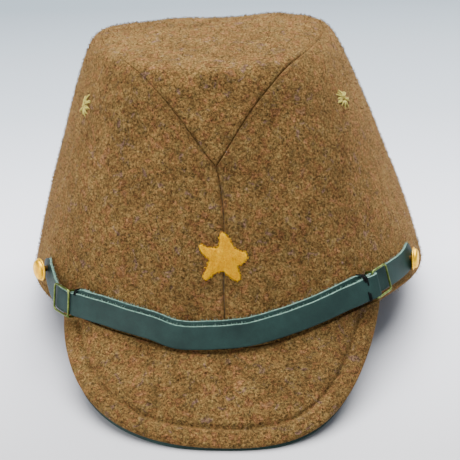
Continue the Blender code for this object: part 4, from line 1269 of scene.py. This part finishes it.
def felt_finish():
    felt, tree, shader = new_finish("yellow felt", Roughness=0.9, Specular_IOR_Level=0.1)
    fibres = mottle(tree, 1500, 4.0, 0.7, warp=1.2)
    patches = mottle(tree, 260, 2.0, 0.6, (0.4, 0.2, 0.1))
    tones = ramp(tree, fibres, (0.3, 206, 134, 0), (0.5, 230, 176, 0), (0.68, 243, 199, 0))
    shade = ramp(tree, patches, (0.35, 236, 226, 206), (0.6, 255, 255, 255))
    coat(tree, shader, times(tree, tones, shade, 0.7), fibres, 0.0005, 0.9)
    return felt


felt = felt_finish()


def star_piece(name):
    outline = star_outline()
    count = len(outline)
    shares = (1.0, 0.985, 0.95, 0.88, 0.78, 0.66, 0.52, 0.38, 0.24, 0.12)
    rises = (0.45, 0.85, 1.0, 1.0, 1.0, 1.0, 1.0, 1.0, 1.0, 1.0)
    points = []
    for share, rise in zip(shares, rises):
        x, y = outline[:, 0] * share, outline[:, 1] * share
        lumps = np.array([noise.noise(Vector((a * 420, b * 420, 9.0))) for a, b in zip(x, y)])
        swell = STAR_SWELL * (1 - share) ** 0.6 + STAR_LUMPS * lumps * smooth_step(1 - share, 0, 0.1)
        points.append(wall_place(x, STAR_HEIGHT + y, 0 * x, FIT + STAR_CLOTH * rise + swell))
    points = np.concatenate(points + [wall_place(0.0, STAR_HEIGHT, 0.0, FIT + STAR_CLOTH + STAR_SWELL)[None]])
    under = []
    for share in (0.99, 0.5):
        x, y = outline[:, 0] * share, outline[:, 1] * share
        under.append(wall_place(x, STAR_HEIGHT + y, 0 * x, FIT))
    under = np.concatenate(under + [wall_place(0.0, STAR_HEIGHT, 0.0, FIT)[None]])
    faces, rings, back = [], len(shares), len(points)
    for side in range(count):
        beside = (side + 1) % count
        for ring in range(rings - 1):
            low, high = ring * count, (ring + 1) * count
            faces.append((low + side, low + beside, high + beside, high + side))
        last = (rings - 1) * count
        faces.append((last + side, last + beside, back - 1))
        faces.append((beside, side, back + side, back + beside))
        faces.append((back + beside, back + side, back + count + side, back + count + beside))
        faces.append((back + count + beside, back + count + side, back + 2 * count))
    nap = np.concatenate([np.ones(back), np.zeros(len(under))])
    points = stand(np.concatenate([points, under]))
    return new_piece(name, points, faces, [felt], attributes={"nap": nap})


star = star_piece("felt_star")
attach(star, "root")
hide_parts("star")
felt_fibre = fibre_finish("yellow felt fibres", (0.0, 200, 124, 0), (0.5, 231, 178, 0), (1.0, 246, 206, 0))
fuzz = {"Density": 7000000.0, "Length": 0.0009, "Thickness": 0.00011, "Lean": 0.9, "Most": 1.5, "Seed": 31}
star_nap = grow("felt_star_nap", fibres, star.data, Finish=felt_fibre, **fuzz)
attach(star_nap, "root")

# The air holes. Each real one is punched through the cloth and worked round by hand with pale olive thread,
# so that its stitches are uneven, and some of their ends stand up.
EYELET_TURN_LEFT = math.radians(60.5)
EYELET_TURN_RIGHT = math.radians(57.5)
EYELET_RISE = 0.79
EYELET_REACH = 0.0051
EYELET_HOLE = 0.0015
EYELET_THREAD = 0.00056


def olive_thread_finish():
    thread, tree, shader = new_finish("olive thread", Roughness=0.8, Specular_IOR_Level=0.25)
    twist = mottle(tree, 2600, 3.0, 0.7)
    coat(tree, shader, ramp(tree, twist, (0.35, 146, 132, 58), (0.62, 204, 190, 100)), twist, 0.0002, 0.7)
    return thread


olive_thread = olive_thread_finish()


def worked_ring_tree():
    """Stitches round a hole. Each comes up out of it, over its edge, and goes down into the cloth outside."""
    tree, given = new_tree(
        "worked air hole",
        Stitches=("Int", 34),
        Hole=("Float", EYELET_HOLE),
        Reach=("Float", EYELET_REACH),
        Thread=("Float", EYELET_THREAD),
        Depth=("Float", 0.0016),
        Seed=("Int", 1),
        Finish=("Material", None),
    )
    reach, hole, depth, seed = (given[title] for title in ("Reach", "Hole", "Depth", "Seed"))
    start = vector_of(tree, X=hole, Z=reckon(tree, "MULTIPLY", depth, -1.0))
    over = vector_of(tree, X=reckon(tree, "MULTIPLY", hole, 0.5), Z=reckon(tree, "MULTIPLY", depth, 0.9))
    high = vector_of(tree, X=reckon(tree, "MULTIPLY", reach, 0.8), Z=reckon(tree, "MULTIPLY", depth, 0.45))
    end = vector_of(tree, X=reach, Z=reckon(tree, "MULTIPLY", depth, -0.2))
    line = bent_line(tree, 8, start, over, high, end)
    stitch = tube_node(tree, line, 6, reckon(tree, "MULTIPLY", given["Thread"], 0.5))
    row = put(tree, "GeometryNodePoints", {"Count": given["Stitches"]}).outputs["Geometry"]
    index = put(tree, "GeometryNodeInputIndex").outputs["Index"]
    place = reckon(tree, "ADD", index, chance(tree, "FLOAT", -0.45, 0.45, seed))
    angle = reckon(tree, "DIVIDE", reckon(tree, "MULTIPLY", place, 2 * math.pi), given["Stitches"])
    sizes = chance(tree, "FLOAT_VECTOR", (0.5, 0.8, 0.7), (1.08, 1.1, 1.3), reckon(tree, "ADD", seed, 1))
    sockets = {"Points": row, "Instance": stitch, "Rotation": vector_of(tree, Z=angle), "Scale": sizes}
    laid = put(tree, "GeometryNodeInstanceOnPoints", sockets).outputs["Instances"]
    slew = chance(tree, "FLOAT_VECTOR", (0, -0.12, -0.16), (0, 0.05, 0.16), reckon(tree, "ADD", seed, 2))
    return finish_tree(tree, turned_by(tree, laid, slew), given["Finish"])


worked_ring = worked_ring_tree()
for hand, turn, seed in (("left", -EYELET_TURN_LEFT, 3), ("right", EYELET_TURN_RIGHT, 8)):
    bare = bpy.data.meshes.new("cloth")
    piece = grow(f"air_hole_{hand}", worked_ring, bare, Finish=olive_thread, Seed=seed)
    place, around, _, out = (Vector(one) for one in crown_frame(turn, EYELET_RISE))
    place, over, beyond = (Vector(one) for one in stand([place, place + out, place + around]))
    out, around = (over - place).normalized(), (beyond - place).normalized()
    turned = Matrix((around, out.cross(around), out)).transposed().to_4x4()
    piece.data.transform(Matrix.Translation(place) @ turned)
    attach(piece, "root")
    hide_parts(f"eyelet_{hand}")

# The floor and its backdrop are one pale sheet that curves up far behind the cap, in tones that go with the
# photograph's. A broad soft light hangs above, and two weak ones stand low at the left and high at the back.
FLOOR_HALF = 2.5
FLOOR_END = 1.6
FLOOR_CURVE = 0.6
BACKDROP_HEIGHT = 2.5


# The floor's colour holds painted light and shade: lightest in a band across the cap's place, painted darker
# in front and much darker towards the back
def painted_light_floor_finish():
    pale, tree, shader = new_finish("floor with painted light", Roughness=0.7, Specular_IOR_Level=0.2)
    place = put(tree, "ShaderNodeTexCoord").outputs["Object"]
    back = put(tree, "ShaderNodeSeparateXYZ", {"Vector": place}).outputs["Y"]
    sockets = {"Value": back, "From Min": -0.3, "From Max": 0.6}
    share = put(tree, "ShaderNodeMapRange", sockets).outputs["Result"]
    stops = ((0.0, 186, 186, 189), (0.2, 198, 198, 202), (0.38, 240, 242, 252), (0.58, 183, 191, 201))
    stops += ((0.8, 132, 144, 154), (1.0, 128, 140, 150))
    tree.links.new(ramp(tree, share, *stops), shader.inputs["Base Color"])
    return pale


rows = [(-FLOOR_HALF, 0.0), (FLOOR_END, 0.0)]
for angle in np.radians(np.arange(7.5, 91, 7.5)):
    rows.append((FLOOR_END + FLOOR_CURVE * math.sin(angle), FLOOR_CURVE * (1 - math.cos(angle))))
rows.append((FLOOR_END + FLOOR_CURVE, BACKDROP_HEIGHT))
floor_points = [(side * FLOOR_HALF, y, z) for y, z in rows for side in (-1, 1)]
floor_faces = [(2 * row, 2 * row + 1, 2 * row + 3, 2 * row + 2) for row in range(len(rows) - 1)]
floor = new_piece("floor", floor_points, floor_faces, [painted_light_floor_finish()])


def soft_light(name, place, size, power, color):
    light = bpy.data.lights.new(name, "AREA")
    light.shape, light.size, light.energy, light.color = "DISK", size, power, color
    lamp = placed(name, light)
    lamp.location = place
    lamp.rotation_euler = (LIGHTS_AIM - Vector(place)).to_track_quat("-Z", "Y").to_euler()


LIGHTS_AIM = Vector((0, 0, 0.08))
soft_light("overhead", (0.02, 0.14, 1.3), 1.4, 53, (1.0, 0.995, 0.98))
soft_light("left", (-0.9, -0.8, 0.4), 0.9, 11, (1.0, 0.99, 0.97))
soft_light("back right", (0.4, 0.95, 0.95), 0.9, 19, (1.0, 0.99, 0.97))
world = bpy.data.worlds.new("room")
bpy.context.scene.world = world
world.use_nodes = True
room = world.node_tree.nodes["Background"].inputs
room["Color"].default_value = (0.86, 0.92, 1.0, 1)
room["Strength"].default_value = 0.43

# The camera stands in front and above, where the photograph was taken from.
AZIMUTH = math.radians(0.666)
ELEVATION = math.radians(30.1)
ROLL = math.radians(1.69)
DISTANCE = 0.634
TARGET = Vector((0.00125, 0.01788, 0.0299))
LENS = 99.6

ahead = Vector((-math.sin(AZIMUTH), math.cos(AZIMUTH), 0)) * math.cos(ELEVATION)
ahead.z = -math.sin(ELEVATION)
level = Vector((math.cos(AZIMUTH), math.sin(AZIMUTH), 0))
upright = level.cross(ahead)
right = level * math.cos(ROLL) - upright * math.sin(ROLL)
above = level * math.sin(ROLL) + upright * math.cos(ROLL)
camera = placed("camera", bpy.data.cameras.new("camera"))
turned = Matrix((right, above, -ahead)).transposed().to_4x4()
camera.matrix_world = Matrix.Translation(TARGET - ahead * DISTANCE) @ turned
camera.data.lens = LENS
camera.data.sensor_width = 36
camera.data.clip_start = 0.01
bpy.context.scene.camera = camera
